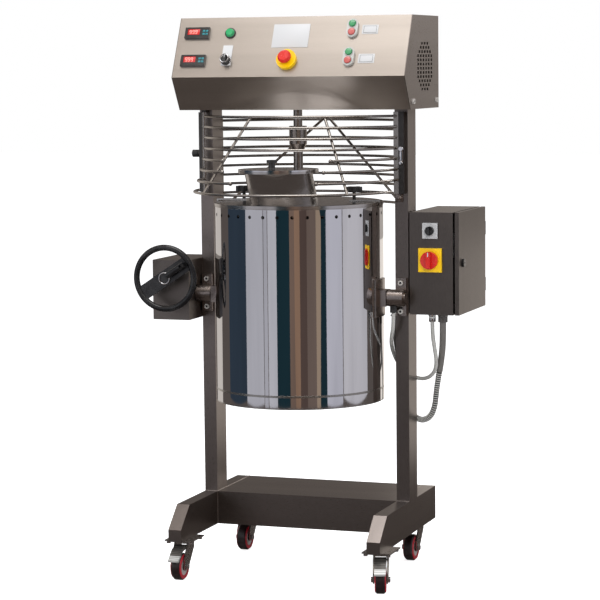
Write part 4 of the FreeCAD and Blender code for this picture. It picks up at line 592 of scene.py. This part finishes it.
    def plate_colour(self, tree, vector):
        """Yellow collar and main plate, grey legend and a pale small plate whose sides near the cabinet are
        painted dark as the shadow behind it.
        """
        right = axis_mask(tree, vector, 0, self.RIGHT_OF_LEGEND)
        cabinet = axis_mask(tree, vector, 0, self.CABINET_START)
        high = axis_mask(tree, vector, 2, self.SMALL_PLATE_FOOT)
        small = shader_node(tree, "Math", {0: cabinet, 1: high}, operation="MULTIPLY")
        large = mix_colour(tree, "MIX", right, (0.62, 0.62, 0.63, 1), self.yellow)
        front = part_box("cabinet_body")[0].y
        # Painted shadow: the small plate's back, next to the cabinet, is near-black.
        shadowed_back = axis_mask(tree, vector, 1, front - self.SMALL_PLATE_DEPTH, 0.0001)
        pale = mix_colour(tree, "MIX", shadowed_back, (0.50, 0.50, 0.51, 1), (0.02, 0.02, 0.02, 1))
        return mix_colour(tree, "MIX", small.outputs[0], large, pale)

    def gland_colour(self, tree, vector):
        """A bright thin gland under the cabinet, and dark plastic ones elsewhere."""
        under = axis_mask(tree, vector, 0, self.CABINET_GLANDS)
        large = axis_mask(tree, vector, 0, self.LARGE_GLAND)
        bright = mix_colour(tree, "MIX", large, (0.72, 0.71, 0.70, 1), (0.085, 0.078, 0.074, 1))
        return mix_colour(tree, "MIX", under, (0.02, 0.02, 0.021, 1), bright)

    def cover_material(self):
        """Polished cover with a dark knob above it."""
        tree, shader, vector = start_material("chute_cover_set", (4, 4, 4))
        place = shader_node(tree, "TexCoord").outputs["Object"]
        knob = axis_mask(tree, place, 2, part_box("chute_cover")[0].z + self.COVER_SHEET)
        colour = mix_colour(tree, "MIX", knob, (0.72, 0.72, 0.74, 1), (0.015, 0.015, 0.016, 1))
        values = {"Grain": 0.08, "Cloud": 0.15, "Rough Low": 0.1, "Rough High": 0.2}
        plug_group(tree, shader, "BrushedGrain", vector, colour, values, 0.03)
        tree.links.new(map_range(tree, knob, 0.0, 1.0, 1.0, 0.0), shader.inputs["Metallic"])


class COOKER_OT_conduits(PieceOperator, bpy.types.Operator):
    """Lay the two conduits from the cabinet: a smooth thin one and a ribbed thick one"""

    bl_idname = "cooker.conduits"
    bl_label = "Conduits"

    def execute(self, context):
        small = self.sleeve("thin_conduit_sleeve", SMALL_ROUTE, SMALL_RADIUS, "conduit_pale")
        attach(small, "frame")
        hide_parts("small_conduit")
        self.measure(small)
        # The thick conduit's near-black sleeve is painted shade between its ribs.
        large = self.sleeve("ribbed_conduit_sleeve", LARGE_ROUTE, LARGE_RADIUS, "conduit_sleeve")
        ribs = self.ribs(large, context.scene.cooker_sizes.corrugation)
        sheath = self.sheath(large)
        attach(large, "frame")
        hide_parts("large_conduit")
        self.measure(large)
        return {"FINISHED"}

    def tube(self, name, radius):
        """A round tube that has no course yet."""
        curve = bpy.data.curves.new(name, "CURVE")
        curve.dimensions = "3D"
        curve.bevel_depth = radius
        curve.bevel_resolution = 5
        curve.use_fill_caps = True
        return curve

    def run(self, curve, kind, places):
        """Lay a stretch of a tube through places."""
        spline = curve.splines.new(kind)
        spline.points.add(len(places) - 1)
        for point, place in zip(spline.points, places):
            point.co = (*place, 1)
        return spline

    def sleeve(self, name, route, radius, material):
        """A round sleeve on a smooth curve through a route's control points."""
        curve = self.tube(name, radius)
        curve.resolution_u = 12
        spline = self.run(curve, "NURBS", route)
        spline.order_u = 3
        spline.use_endpoint_u = True
        curve.materials.append(MATERIALS[material])
        return added(name, curve)

    def line(self, sleeve):
        """The points of a sleeve's own centreline."""
        bare = copied(sleeve)
        bare.data.bevel_depth = 0
        mesh = bpy.data.meshes.new_from_object(bare)
        points = [vertex.co.copy() for vertex in mesh.vertices]
        bpy.data.objects.remove(bare)
        bpy.data.meshes.remove(mesh)
        return points

    def measure(self, sleeve):
        """The length of a sleeve's centreline."""
        points = self.line(sleeve)
        return sum((b - a).length for a, b in zip(points, points[1:]))

    def ribbed(self, place):
        """True where the thick conduit shows its ribs: its front hanging stretch."""
        return place.z < RIBS_TOP and place.x > RIBS_END

    def sheath(self, sleeve):
        """A plain sheath over each stretch of the thick conduit that shows no ribs."""
        curve = self.tube("conduit_sheath", SHEATH_RADIUS)
        stretch = []
        for place in [*self.line(sleeve), None]:
            if place is not None and not self.ribbed(place):
                stretch.append(place)
                continue
            if len(stretch) > 1:
                self.run(curve, "POLY", stretch)
            stretch = []
        select_only(added("conduit_sheath", curve))
        bpy.ops.object.convert(target="MESH")
        whole = smoothed(bpy.context.active_object)
        return finish_piece(whole, "conduit_sheath", "conduit_dark", "frame")

    def ribs(self, sleeve, pitch):
        """Rings along the ribbed stretch of the thick conduit."""
        points = self.line(sleeve)
        rings = []
        model = torus(RIB_RADIUS, RIB_WIRE, sides=20, ring=6)
        travelled = 0.0
        target = pitch / 2
        for first, last in zip(points, points[1:]):
            step = (last - first).length
            while target <= travelled + step:
                place = first.lerp(last, (target - travelled) / step)
                if self.ribbed(place):
                    ring = copied(model)
                    ring.data.transform(aimed(place, last - first))
                    rings.append(ring)
                target += pitch
            travelled += step
        bpy.data.objects.remove(model)
        whole = joined(rings)
        return finish_piece(whole, "conduit_ribs", "rib_pale", "frame")


class COOKER_OT_panel(PieceOperator, bpy.types.Operator):
    """Fit the operator panel: displays, keys, legend plates, bezels and blank plates"""

    bl_idname = "cooker.panel"
    bl_label = "Operator panel"

    # Places across the panel, and each row's distance up its slope.
    CONTROLLER_X = -0.296
    ROUND_X = -0.193
    NAME_PLATE = (-0.003, 0.130)
    BUTTON_X = 0.184
    SYMBOL_X = 0.237
    CONTROLLER_ROWS = (("upper", 0.141), ("lower", 0.052))
    SYMBOL_ROWS = (("upper", 0.147), ("lower", 0.055))
    BUTTON_ROWS = (("upper", 0.150), ("lower", 0.060))
    BUTTONS = (("start", 0.013, "boot_green"), ("stop", -0.013, "boot_red"))
    LAMP_ROW, SELECTOR_ROW = 0.141, 0.052
    BORDER = (0.038, 0.021)
    BORDER_LINE = 0.0008
    BORDER_RAISED = 0.0003
    # A digit's strokes, from its middle: place x, z, width, height.
    STROKE = 0.0012
    STROKES = ((0, 0.0055, 0.005, STROKE), (0, 0, 0.005, STROKE), (0, -0.0055, 0.005, STROKE),
               (-0.0027, 0.0028, STROKE, 0.0048), (0.0027, 0.0028, STROKE, 0.0048),
               (0.0027, -0.0028, STROKE, 0.0048))
    DIGIT_PLACES = (-0.0215, -0.0125, -0.0035)
    DISPLAY_UP = 0.003
    KEY_START = (0.0215, -0.0045)
    KEY_PITCH = 0.0095

    def execute(self, context):
        thick = context.scene.cooker_sizes.plate
        for row, along in self.CONTROLLER_ROWS:
            self.controller(row, along)
        plate = block((0.112, 0.075, thick), (0, 0, thick / 2), 0.0004)
        finish_piece(plate, "name_plate_blank", "shaded_white_plate", "frame", panel_place(*self.NAME_PLATE))
        for row, along in self.SYMBOL_ROWS:
            plate = block((0.049, 0.029, thick), (0, 0, thick / 2), 0.0004)
            finish_piece(plate, f"{row}_symbol_plate", "shaded_white_plate", "frame",
                         panel_place(self.SYMBOL_X, along))
            finish_piece(self.border(*self.BORDER), f"{row}_symbol_border", "black_moulding", "frame",
                         panel_place(self.SYMBOL_X, along, thick))
        for row, along in self.BUTTON_ROWS:
            for name, offset, colour in self.BUTTONS:
                bezel = torus(0.0122, 0.0012, (0, 0, 0.0082), sides=40, ring=10)
                finish_piece(bezel, f"{row}_{name}_bezel", "boot_sheen_pale", "frame",
                             panel_place(self.BUTTON_X, along + offset))
                cap = turned_piece(0.0102, 0.0012, [(0.0015, 0.0008), (0.004, 0.0003)], 32)
                finish_piece(cap, f"{row}_{name}_cap", colour, f"{row}_{name}_button",
                             panel_place(self.BUTTON_X, along + offset, 0.011))
        bezel = turned_piece(0.0165, 0.0035, [(0.0015, 0.0005)], 40)
        finish_piece(bezel, "lamp_bezel", "black_moulding", "frame",
                     panel_place(self.ROUND_X, self.LAMP_ROW))
        ring = torus(0.0146, 0.0012, (0, 0, 0.003), sides=40, ring=8)
        seat = panel_place(self.ROUND_X, self.SELECTOR_ROW)
        finish_piece(ring, "selector_bezel", "chrome_trim", "frame", seat)
        rim = torus(0.0128, 0.0013, (0, 0, 0.0197), sides=40, ring=10)
        finish_piece(rim, "selector_rim", "chrome_trim", "selector_knob", seat)
        mark = block((0.0016, 0.011, 0.0006), (0, 0.0075, 0.0003), 0.0002)
        finish_piece(mark, "selector_mark", "shaded_white_plate", "selector_knob",
                     panel_place(self.ROUND_X, self.SELECTOR_ROW, 0.0201))
        return {"FINISHED"}

    def border(self, wide, high):
        """A thin raised rectangle outline."""
        level = (wide, self.BORDER_LINE, self.BORDER_RAISED)
        upright = (self.BORDER_LINE, high, self.BORDER_RAISED)
        middle = self.BORDER_RAISED / 2
        return joined([block(size, (x, y, middle), 0.0001, 1) for x, y, size in (
            (0, high / 2, level), (0, -high / 2, level), (wide / 2, 0, upright), (-wide / 2, 0, upright))])

    def controller(self, row, along):
        """A controller's lit display, digits and keys, inside its bezel."""
        glass = block((0.0385, 0.0186, 0.0008), (-0.0108, self.DISPLAY_UP, 0.0004), 0.0003)
        finish_piece(glass, f"{row}_display_glass", "display_red", "frame",
                     panel_place(self.CONTROLLER_X, along, 0.0056))
        digits = [block((wide, high, 0.0005), (place + x, self.DISPLAY_UP + y, 0.0002), 0.0001, 1)
                  for place in self.DIGIT_PLACES for x, y, wide, high in self.STROKES]
        finish_piece(joined(digits), f"{row}_display_digits", "display_pale", "frame",
                     panel_place(self.CONTROLLER_X, along, 0.0064))
        x, y = self.KEY_START
        keys = [block((0.0075, 0.0062, 0.001), (x + self.KEY_PITCH * column, y + self.KEY_PITCH * line,
                                                0.0004), 0.0006)
                for column in range(2) for line in range(2)]
        finish_piece(joined(keys), f"{row}_keys", "teal_keys", "frame",
                     panel_place(self.CONTROLLER_X, along, 0.008))


class COOKER_OT_kettle(PieceOperator, bpy.types.Operator):
    """Trim the kettle: rolled lid rim, weld bands and seam"""

    bl_idname = "cooker.kettle"
    bl_label = "Kettle trims"

    RIM_RADIUS = 0.2455
    RIM_RAISED = 0.0075
    SEAM_BEARING = -5

    def execute(self, context):
        roll = context.scene.cooker_sizes.lid_roll
        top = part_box("kettle_jacket")[1].z
        rim = torus(self.RIM_RADIUS, roll, (0, 0, top + self.RIM_RAISED), sides=160, ring=12)
        finish_piece(rim, "lid_rolled_rim", "shaded_polished_lid", "kettle")
        band = self.band(inner=0.2475, outer=0.24905, height=0.560, half=0.0035)
        finish_piece(band, "base_weld_band", "bright_steel", "kettle")
        foot = self.band(inner=0.2470, outer=0.24900, height=0.5245, half=0.002)
        finish_piece(foot, "base_foot_band", "bright_steel", "kettle")
        seam = block((0.0009, 0.0006, 0.510), (0, -0.24895, 0.832), 0.0002, 1)
        turn = Matrix.Rotation(math.radians(self.SEAM_BEARING), 4, "Z")
        finish_piece(seam, "jacket_seam", "dark_steel", "kettle", turn)
        return {"FINISHED"}

    def band(self, inner, outer, height, half):
        """A thin ring band round the jacket."""
        bpy.ops.mesh.primitive_cylinder_add(vertices=160, radius=outer, depth=2 * half,
                                            location=(0, 0, height), end_fill_type="NOTHING")
        obj = settle(bpy.context.active_object)
        modifier = obj.modifiers.new("wall", "SOLIDIFY")
        modifier.thickness = outer - inner
        modifier.offset = -1
        bpy.ops.object.modifier_apply(modifier=modifier.name)
        return bevelled(obj, 0.0003, 1)


class COOKER_OT_castors(PieceOperator, bpy.types.Operator):
    """Finish the castors: nuts on their plates and on their axles"""

    bl_idname = "cooker.castors"
    bl_label = "Castor fittings"

    # The plate nuts' places from the swivel, the plate's top, and the axle nuts' seat from the wheel.
    NUT_X = 0.034
    NUT_Y = 0.040
    PLATE_TOP = 0.1076
    AXLE_SEAT = 0.0225

    def execute(self, context):
        for castor in CASTORS:
            swivel = Vector(JOINTS[f"castor_turn_{castor}"]["pos_m"])
            roll = JOINTS[f"castor_roll_{castor}"]
            nuts = [turned_piece(0.0065, 0.005, [(0.0022, 0.0016)], 6,
                                 (swivel.x + x, swivel.y + y, self.PLATE_TOP), 0.0003)
                    for x in (-self.NUT_X, self.NUT_X) for y in (-self.NUT_Y, self.NUT_Y)]
            finish_piece(joined(nuts), f"plate_nuts_{castor}", "chrome_trim", "frame")
            caps = []
            for side in (-1, 1):
                out = Vector(roll["axis"]) * side
                cap = turned_piece(0.0085, 0.0055, [(0.0015, 0.001)], 6, edge=0.0004)
                cap.data.transform(aimed(Vector(roll["pos_m"]) + out * self.AXLE_SEAT, out))
                caps.append(cap)
            finish_piece(joined(caps), f"axle_nuts_{castor}", "chrome_trim", f"swivel_{castor}")
        return {"FINISHED"}


class COOKER_OT_cabinet(PieceOperator, bpy.types.Operator):
    """Trim the cabinet: the main switch's mark, and the glands' nuts and domes"""

    bl_idname = "cooker.cabinet"
    bl_label = "Cabinet trims"

    GLANDS = (("small", SMALL_ROUTE[0], 0.0115, "chrome_trim"),
              ("large", LARGE_ROUTE[0], 0.0155, "conduit_dark"))
    NUT_FOOT = 0.7694
    DOME_FOOT = 0.7535

    def execute(self, context):
        mark = block((0.003, 0.0008, 0.012), (0.393, 0.0051, 0.955), 0.0003)
        finish_piece(mark, "main_switch_mark", "shaded_white_plate", "main_switch_knob")
        for name, (x, y, _), size, finish in self.GLANDS:
            nut = turned_piece(size, 0.007, [(0.002, 0.0008)], 6, (x, y, self.NUT_FOOT), 0.0004)
            finish_piece(nut, f"{name}_gland_nut", finish, "frame")
            dome = turned_piece(size * 0.9, 0.010, [(0.0015, 0.001)], 24, (x, y, self.DOME_FOOT), 0.001)
            finish_piece(dome, f"{name}_gland_dome", finish, "frame")
        return {"FINISHED"}


class COOKER_OT_handwheel(PieceOperator, bpy.types.Operator):
    """Trim the hand wheel with a chrome ring on its hub"""

    bl_idname = "cooker.handwheel"
    bl_label = "Hand wheel trim"

    HUB_FACE = (-0.376, -0.137, 0.883)

    def execute(self, context):
        ring = torus(0.0165, 0.0022, sides=48, ring=10)
        finish_piece(ring, "hub_ring", "chrome_trim", "hand_drive", facing_front(*self.HUB_FACE))
        return {"FINISHED"}


class COOKER_OT_welds(PieceOperator, bpy.types.Operator):
    """Lay the ground weld beads at the columns' feet and along the base tray, paler than the frame steel as
    painted edge highlights
    """

    bl_idname = "cooker.welds"
    bl_label = "Weld beads"

    BEAD_RADIUS = 0.0011
    BEAD_RAISED = 0.0004
    COLUMN_INSIDE = 0.285
    COLUMN_OUTSIDE = 0.325

    def execute(self, context):
        beads = []
        low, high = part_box("columns")
        tray_low, tray_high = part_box("base_tray")
        foot = low.z + self.BEAD_RAISED
        for side in (1, -1):
            inner = side * self.COLUMN_INSIDE
            outer = side * self.COLUMN_OUTSIDE
            beads.append(self.bead((inner, low.y, foot), (outer, low.y, foot)))
            beads.append(self.bead((inner, low.y, foot), (inner, high.y, foot)))
            beads.append(self.bead((inner, tray_low.y, tray_low.z), (inner, tray_low.y, tray_high.z)))
            beads.append(self.bead((inner, tray_low.y, tray_high.z), (inner, tray_high.y, tray_high.z)))
        finish_piece(joined(beads), "weld_beads", "weld_bead", "frame")
        return {"FINISHED"}

    def bead(self, start, end):
        """A slim rounded bead between two points."""
        first, last = Vector(start), Vector(end)
        bpy.ops.mesh.primitive_cylinder_add(vertices=10, radius=self.BEAD_RADIUS,
                                            depth=(last - first).length)
        obj = bpy.context.active_object
        obj.data.transform(aimed((first + last) / 2, last - first))
        return smoothed(obj)


class COOKER_OT_sockets(PieceOperator, bpy.types.Operator):
    """Put a black insert in each bolt of the bearings and the head's sides, as painted shade in its socket"""

    bl_idname = "cooker.sockets"
    bl_label = "Bolt sockets"

    BEARING_X = 0.305
    BEARING_FRONT = 0.0199
    BEARING_HEIGHTS = (0.786, 0.870)
    HEAD_Y = (-0.019, 0.221)
    HEAD_HEIGHT = 1.400
    SUNK = 0.0001

    def execute(self, context):
        head_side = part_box("frame_bolts")[1].x - self.SUNK
        quarter = math.pi / 2
        sockets = []
        for side in (-1, 1):
            for height in self.BEARING_HEIGHTS:
                sockets.append(self.socket((side * self.BEARING_X, self.BEARING_FRONT, height),
                                           (quarter, 0, 0)))
            for y in self.HEAD_Y:
                sockets.append(self.socket((side * head_side, y, self.HEAD_HEIGHT), (0, side * quarter, 0)))
        finish_piece(joined(sockets), "bolt_socket_shade", "black_moulding", "frame")
        return {"FINISHED"}

    def socket(self, place, turn):
        """A six-sided recess, shown as a thin black insert: painted shade inside the socket."""
        bpy.ops.mesh.primitive_cylinder_add(vertices=6, radius=0.0036, depth=0.0006, location=place,
                                            rotation=turn)
        return settle(bpy.context.active_object)


class COOKER_OT_latch(PieceOperator, bpy.types.Operator):
    """Fit the gate's bright latch and its lower rest on the right column"""

    bl_idname = "cooker.latch"
    bl_label = "Gate latch"

    LATCH_INSET = 0.0075
    LATCH_FRONT = 0.0195
    LATCH_HEIGHT, KNOB_HEIGHT, PIN_HEIGHT = 1.240, 1.262, 1.221
    SEATED = 0.001
    REST_X, REST_HEIGHT = 0.300, 1.118
    REST_MIDDLE, REST_FRONT = 0.0352, 0.0340

    def execute(self, context):
        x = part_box("guard_fittings")[1].x - self.LATCH_INSET
        face = self.LATCH_FRONT - self.SEATED
        bar = block((0.010, 0.003, 0.046), (x, self.LATCH_FRONT, self.LATCH_HEIGHT), 0.0008)
        knob = turned_piece(0.0075, 0.006, [(0.0015, 0.0012)], 28)
        knob.data.transform(facing_front(x, face, self.KNOB_HEIGHT))
        pin = turned_piece(0.0055, 0.007, [(0.001, 0.001)], 24)
        pin.data.transform(facing_front(x, face, self.PIN_HEIGHT))
        finish_piece(joined([bar, knob, pin]), "gate_latch", "chrome_trim", "frame")
        rest = block((0.020, 0.004, 0.024), (self.REST_X, self.REST_MIDDLE, self.REST_HEIGHT), 0.001)
        boss = turned_piece(0.007, 0.005, [(0.0015, 0.001)], 28)
        boss.data.transform(facing_front(self.REST_X, self.REST_FRONT, self.REST_HEIGHT))
        finish_piece(joined([rest, boss]), "gate_rest", "machined_steel", "frame")
        return {"FINISHED"}


# STUDIO

class COOKER_OT_studio(PieceOperator, bpy.types.Operator):
    """Set up the floor, the lights, the reflecting cards and the camera"""

    bl_idname = "cooker.studio"
    bl_label = "Studio"

    # Upright cards: name, start and end bearing in degrees from the front, and colour.
    CARDS = (
        ("card_left_blue", -89.5, -55.7, (0.034, 0.050, 0.072)),
        ("card_left_pale_a", -55.7, -29.0, (0.54, 0.535, 0.58)),
        ("card_left_pale_b", -28.3, -23.0, (0.50, 0.495, 0.54)),
        ("card_left_pale_c", -22.3, -10.5, (0.60, 0.595, 0.64)),
        ("card_teal_left", -10.5, 6.5, (0.012, 0.032, 0.042)),
        ("card_bronze_a", 6.5, 13.5, (0.20, 0.135, 0.105)),
        ("card_bronze_b", 13.5, 20.0, (0.30, 0.185, 0.125)),
        ("card_bronze_c", 20.0, 29.0, (0.10, 0.068, 0.058)),
        ("card_bronze_d", 29.0, 41.0, (0.17, 0.125, 0.105)),
        ("card_bronze_e", 41.0, 46.0, (0.36, 0.27, 0.20)),
        ("card_teal_right", 46.0, 55.0, (0.012, 0.030, 0.040)),
        ("card_right_pale_a", 55.0, 77.6, (0.56, 0.555, 0.62)),
        ("card_right_pale_b", 78.6, 121.0, (0.60, 0.585, 0.62)),
    )
    CARD_FOOT = 0.02
    CARD_TOP = 3.6
    CARD_AWAY = 3.6
    # Nearer cards behind the cooker, with their lower and upper ends as well.
    BACK_CARDS = (
        ("card_back_right_low", 148.0, 190.0, (0.98, 0.90, 0.82), CARD_FOOT, 0.85),
        ("card_back_right_high", 148.0, 190.0, (0.50, 0.455, 0.415), 0.85, CARD_TOP),
        ("card_back_left", -134.0, -108.0, (0.66, 0.61, 0.56), CARD_FOOT, CARD_TOP),
        ("card_back_far_left", -172.0, -134.0, (0.20, 0.175, 0.16), CARD_FOOT, CARD_TOP),
    )
    BACK_AWAY = 2.0
    CEILING_PLACE = Vector((-0.95, -2.75, 4.9))
    CEILING_SIZE = (4.6, 2.6)
    CEILING_COLOUR = (0.86, 0.785, 0.72)
    PANEL_MIDDLE = Vector((0, -0.06, 1.56))
    # Area lights: name, place, side, power and colour. All of them point at LIT_POINT.
    LIGHTS = (
        ("key_light", (2.6, -4.2, 3.4), 2.2, 110, (1.0, 0.98, 0.95)),
        ("left_light", (-3.4, -2.6, 2.2), 1.8, 60, (0.95, 0.98, 1.0)),
        ("top_light", (0.0, -0.6, 4.2), 2.4, 60, (1.0, 1.0, 1.0)),
        ("back_light", (1.6, 3.2, 2.8), 1.6, 50, (1.0, 1.0, 1.0)),
    )
    LIT_POINT = Vector((0, 0, 0.9))
    # The camera's place, its turn, tilt and roll in degrees, and its focal length in picture widths.
    CAMERA_PLACE = Vector((2.2496, -6.3564, 1.5089))
    CAMERA_TURNS = (19.482, -5.879, -0.582)
    FOCAL_PIXELS = 2288.55
    PHOTO_PIXELS = 600
    SENSOR = 36

    def execute(self, context):
        self.floor(tuple(context.scene.cooker_colours.floor))
        self.world(context.scene)
        self.lights()
        self.cards()
        self.camera(context.scene)
        context.scene.view_settings.view_transform = "Standard"
        return {"FINISHED"}

    def glow(self, tree, colour, strength=1.0):
        """A plain glow, for what the camera or the polished steel sees."""
        if isinstance(colour, tuple):
            colour = (*colour, 1)
        return shader_node(tree, "Emission", {"Color": colour, "Strength": strength}).outputs[0]

    def plane(self, name, size=1):
        """A flat square."""
        bpy.ops.mesh.primitive_plane_add(size=size)
        obj = bpy.context.active_object
        obj.name = name
        return obj

    def floor(self, colour):
        """A pale floor that the camera sees white and the polished steel sees dark."""
        obj = self.plane("studio_floor", 60)
        tree, shader, _ = start_material("studio_floor_finish")
        shader.inputs["Base Color"].default_value = (*colour, 1)
        shader.inputs["Roughness"].default_value = 0.9
        shader.inputs["Specular IOR Level"].default_value = 0.0
        matt = shader.outputs[0]
        lifted = shader_node(tree, "AddShader", {0: matt, 1: self.glow(tree, (1, 1, 1), 0.80)}).outputs[0]
        dark = self.glow(tree, (0.105, 0.088, 0.080))
        path = shader_node(tree, "LightPath").outputs
        seen = mix_shader(tree, path["Is Camera Ray"], matt, lifted)
        mirrored = mix_shader(tree, path["Is Glossy Ray"], seen, dark)
        tree.links.new(mirrored, tree.nodes["Material Output"].inputs["Surface"])
        dress(obj, "studio_floor_finish")

    def card(self, name, start, end, colour, low=CARD_FOOT, high=CARD_TOP, away=CARD_AWAY):
        """An upright card, seen only in polished steel, between two bearings."""
        middle = math.radians((start + end) / 2)
        wide = 2 * away * math.tan(math.radians(abs(end - start) / 2))
        obj = self.plane(name)
        turn = Matrix.Rotation(middle, 4, "Z") @ Matrix.Translation((0, -away, (low + high) / 2))
        upright = Matrix.Rotation(math.pi / 2, 4, "X") @ Matrix.Diagonal((wide, high - low, 1, 1))
        obj.data.transform(turn @ upright)
        self.dress_card(obj, colour)

    def dress_card(self, obj, colour):
        """Give a card its cloudy glow, and keep it out of sight and out of the light."""
        name = f"{obj.name}_glow"
        tree, _, vector = start_material(name)
        dim = tuple(0.86 * value for value in colour)
        blend = map_range(tree, noise(tree, vector, 0.9, 3), 0.35, 0.65)
        glow = self.glow(tree, mix_colour(tree, "MIX", blend, (*dim, 1), (*colour, 1)))
        tree.links.new(glow, tree.nodes["Material Output"].inputs["Surface"])
        dress(obj, name)
        for kind in ("camera", "diffuse", "shadow", "transmission", "volume_scatter"):
            setattr(obj, f"visible_{kind}", False)

    def cards(self):
        """The bands that the polished jacket shows, and a ceiling card over the sloped panel."""
        for name, start, end, colour in self.CARDS:
            self.card(name, start, end, colour)
        for name, start, end, colour, low, high in self.BACK_CARDS:
            self.card(name, start, end, colour, low, high, away=self.BACK_AWAY)
        ceiling = self.plane("card_ceiling")
        facing = aimed(self.CEILING_PLACE, self.PANEL_MIDDLE - self.CEILING_PLACE)
        ceiling.data.transform(facing @ Matrix.Diagonal((*self.CEILING_SIZE, 1, 1)))
        self.dress_card(ceiling, self.CEILING_COLOUR)

    def world(self, scene):
        """White to the camera, a warm grey room to polished steel and a soft pale light to the rest."""
        world = bpy.data.worlds.new("studio_world")
        world.use_nodes = True
        scene.world = world
        tree = world.node_tree
        light = tree.nodes["Background"]
        light.inputs["Color"].default_value = (0.95, 0.97, 1.0, 1)
        light.inputs["Strength"].default_value = 0.45
        room = shader_node(tree, "Background", {"Color": (0.50, 0.45, 0.41, 1), "Strength": 0.8})
        plain = shader_node(tree, "Background", {"Color": (1, 1, 1, 1), "Strength": 1.0})
        path = shader_node(tree, "LightPath").outputs
        mirrored = mix_shader(tree, path["Is Glossy Ray"], light.outputs[0], room.outputs[0])
        seen = mix_shader(tree, path["Is Camera Ray"], mirrored, plain.outputs[0])
        tree.links.new(seen, tree.nodes["World Output"].inputs["Surface"])

    def lights(self):
        """Four square area lights."""
        for name, place, size, power, tint in self.LIGHTS:
            data = bpy.data.lights.new(name, "AREA")
            data.shape = "SQUARE"
            data.size = size
            data.energy = power
            data.color = tint
            lamp = added(name, data)
            lamp.location = place
            lamp.rotation_euler = (self.LIT_POINT - Vector(place)).to_track_quat("-Z", "Y").to_euler()

    def camera(self, scene):
        """The photograph's viewpoint: its place, turn, tilt and focal length."""
        yaw, pitch, roll = (math.radians(angle) for angle in self.CAMERA_TURNS)
        ahead = Vector((-math.sin(yaw) * math.cos(pitch), math.cos(yaw) * math.cos(pitch), math.sin(pitch)))
        right = Vector((math.cos(yaw), math.sin(yaw), 0))
        up = right.cross(ahead)
        side = right * math.cos(roll) + up * math.sin(roll)
        top = up * math.cos(roll) - right * math.sin(roll)
        turn = Matrix((side, top, -ahead)).transposed().to_4x4()
        data = bpy.data.cameras.new("photo_camera")
        data.sensor_width = self.SENSOR
        data.lens = self.FOCAL_PIXELS / self.PHOTO_PIXELS * self.SENSOR
        data.clip_end = 100
        camera = added("photo_camera", data)
        camera.matrix_world = Matrix.Translation(self.CAMERA_PLACE) @ turn
        scene.camera = camera


# ADD-ON

PIECES = (COOKER_OT_finishes, COOKER_OT_conduits, COOKER_OT_panel, COOKER_OT_kettle,
          COOKER_OT_castors, COOKER_OT_cabinet, COOKER_OT_handwheel,
          COOKER_OT_welds, COOKER_OT_sockets, COOKER_OT_latch, COOKER_OT_studio)


class COOKER_PT_panel(bpy.types.Panel):
    """Lists the cooker's pieces and settings"""

    bl_idname = "COOKER_PT_panel"
    bl_label = "Cream Cooker"
    bl_space_type = "VIEW_3D"
    bl_region_type = "UI"
    bl_category = "Cooker"

    def draw(self, context):
        for piece in PIECES:
            self.layout.operator(piece.bl_idname)
        for settings in (context.scene.cooker_colours, context.scene.cooker_sizes):
            column = self.layout.column(align=True)
            for name in settings.__annotations__:
                column.prop(settings, name)


CLASSES = (CookerColours, CookerSizes, *PIECES, COOKER_PT_panel)


def register():
    for item in CLASSES:
        bpy.utils.register_class(item)
    bpy.types.Scene.cooker_colours = bpy.props.PointerProperty(type=CookerColours)
    bpy.types.Scene.cooker_sizes = bpy.props.PointerProperty(type=CookerSizes)


def unregister():
    del bpy.types.Scene.cooker_sizes
    del bpy.types.Scene.cooker_colours
    for item in reversed(CLASSES):
        bpy.utils.unregister_class(item)


def main():
    """Build every piece."""
    register()
    for piece in PIECES:
        group, name = piece.bl_idname.split(".")
        getattr(getattr(bpy.ops, group), name)()


if __name__ == "__main__":
    main()
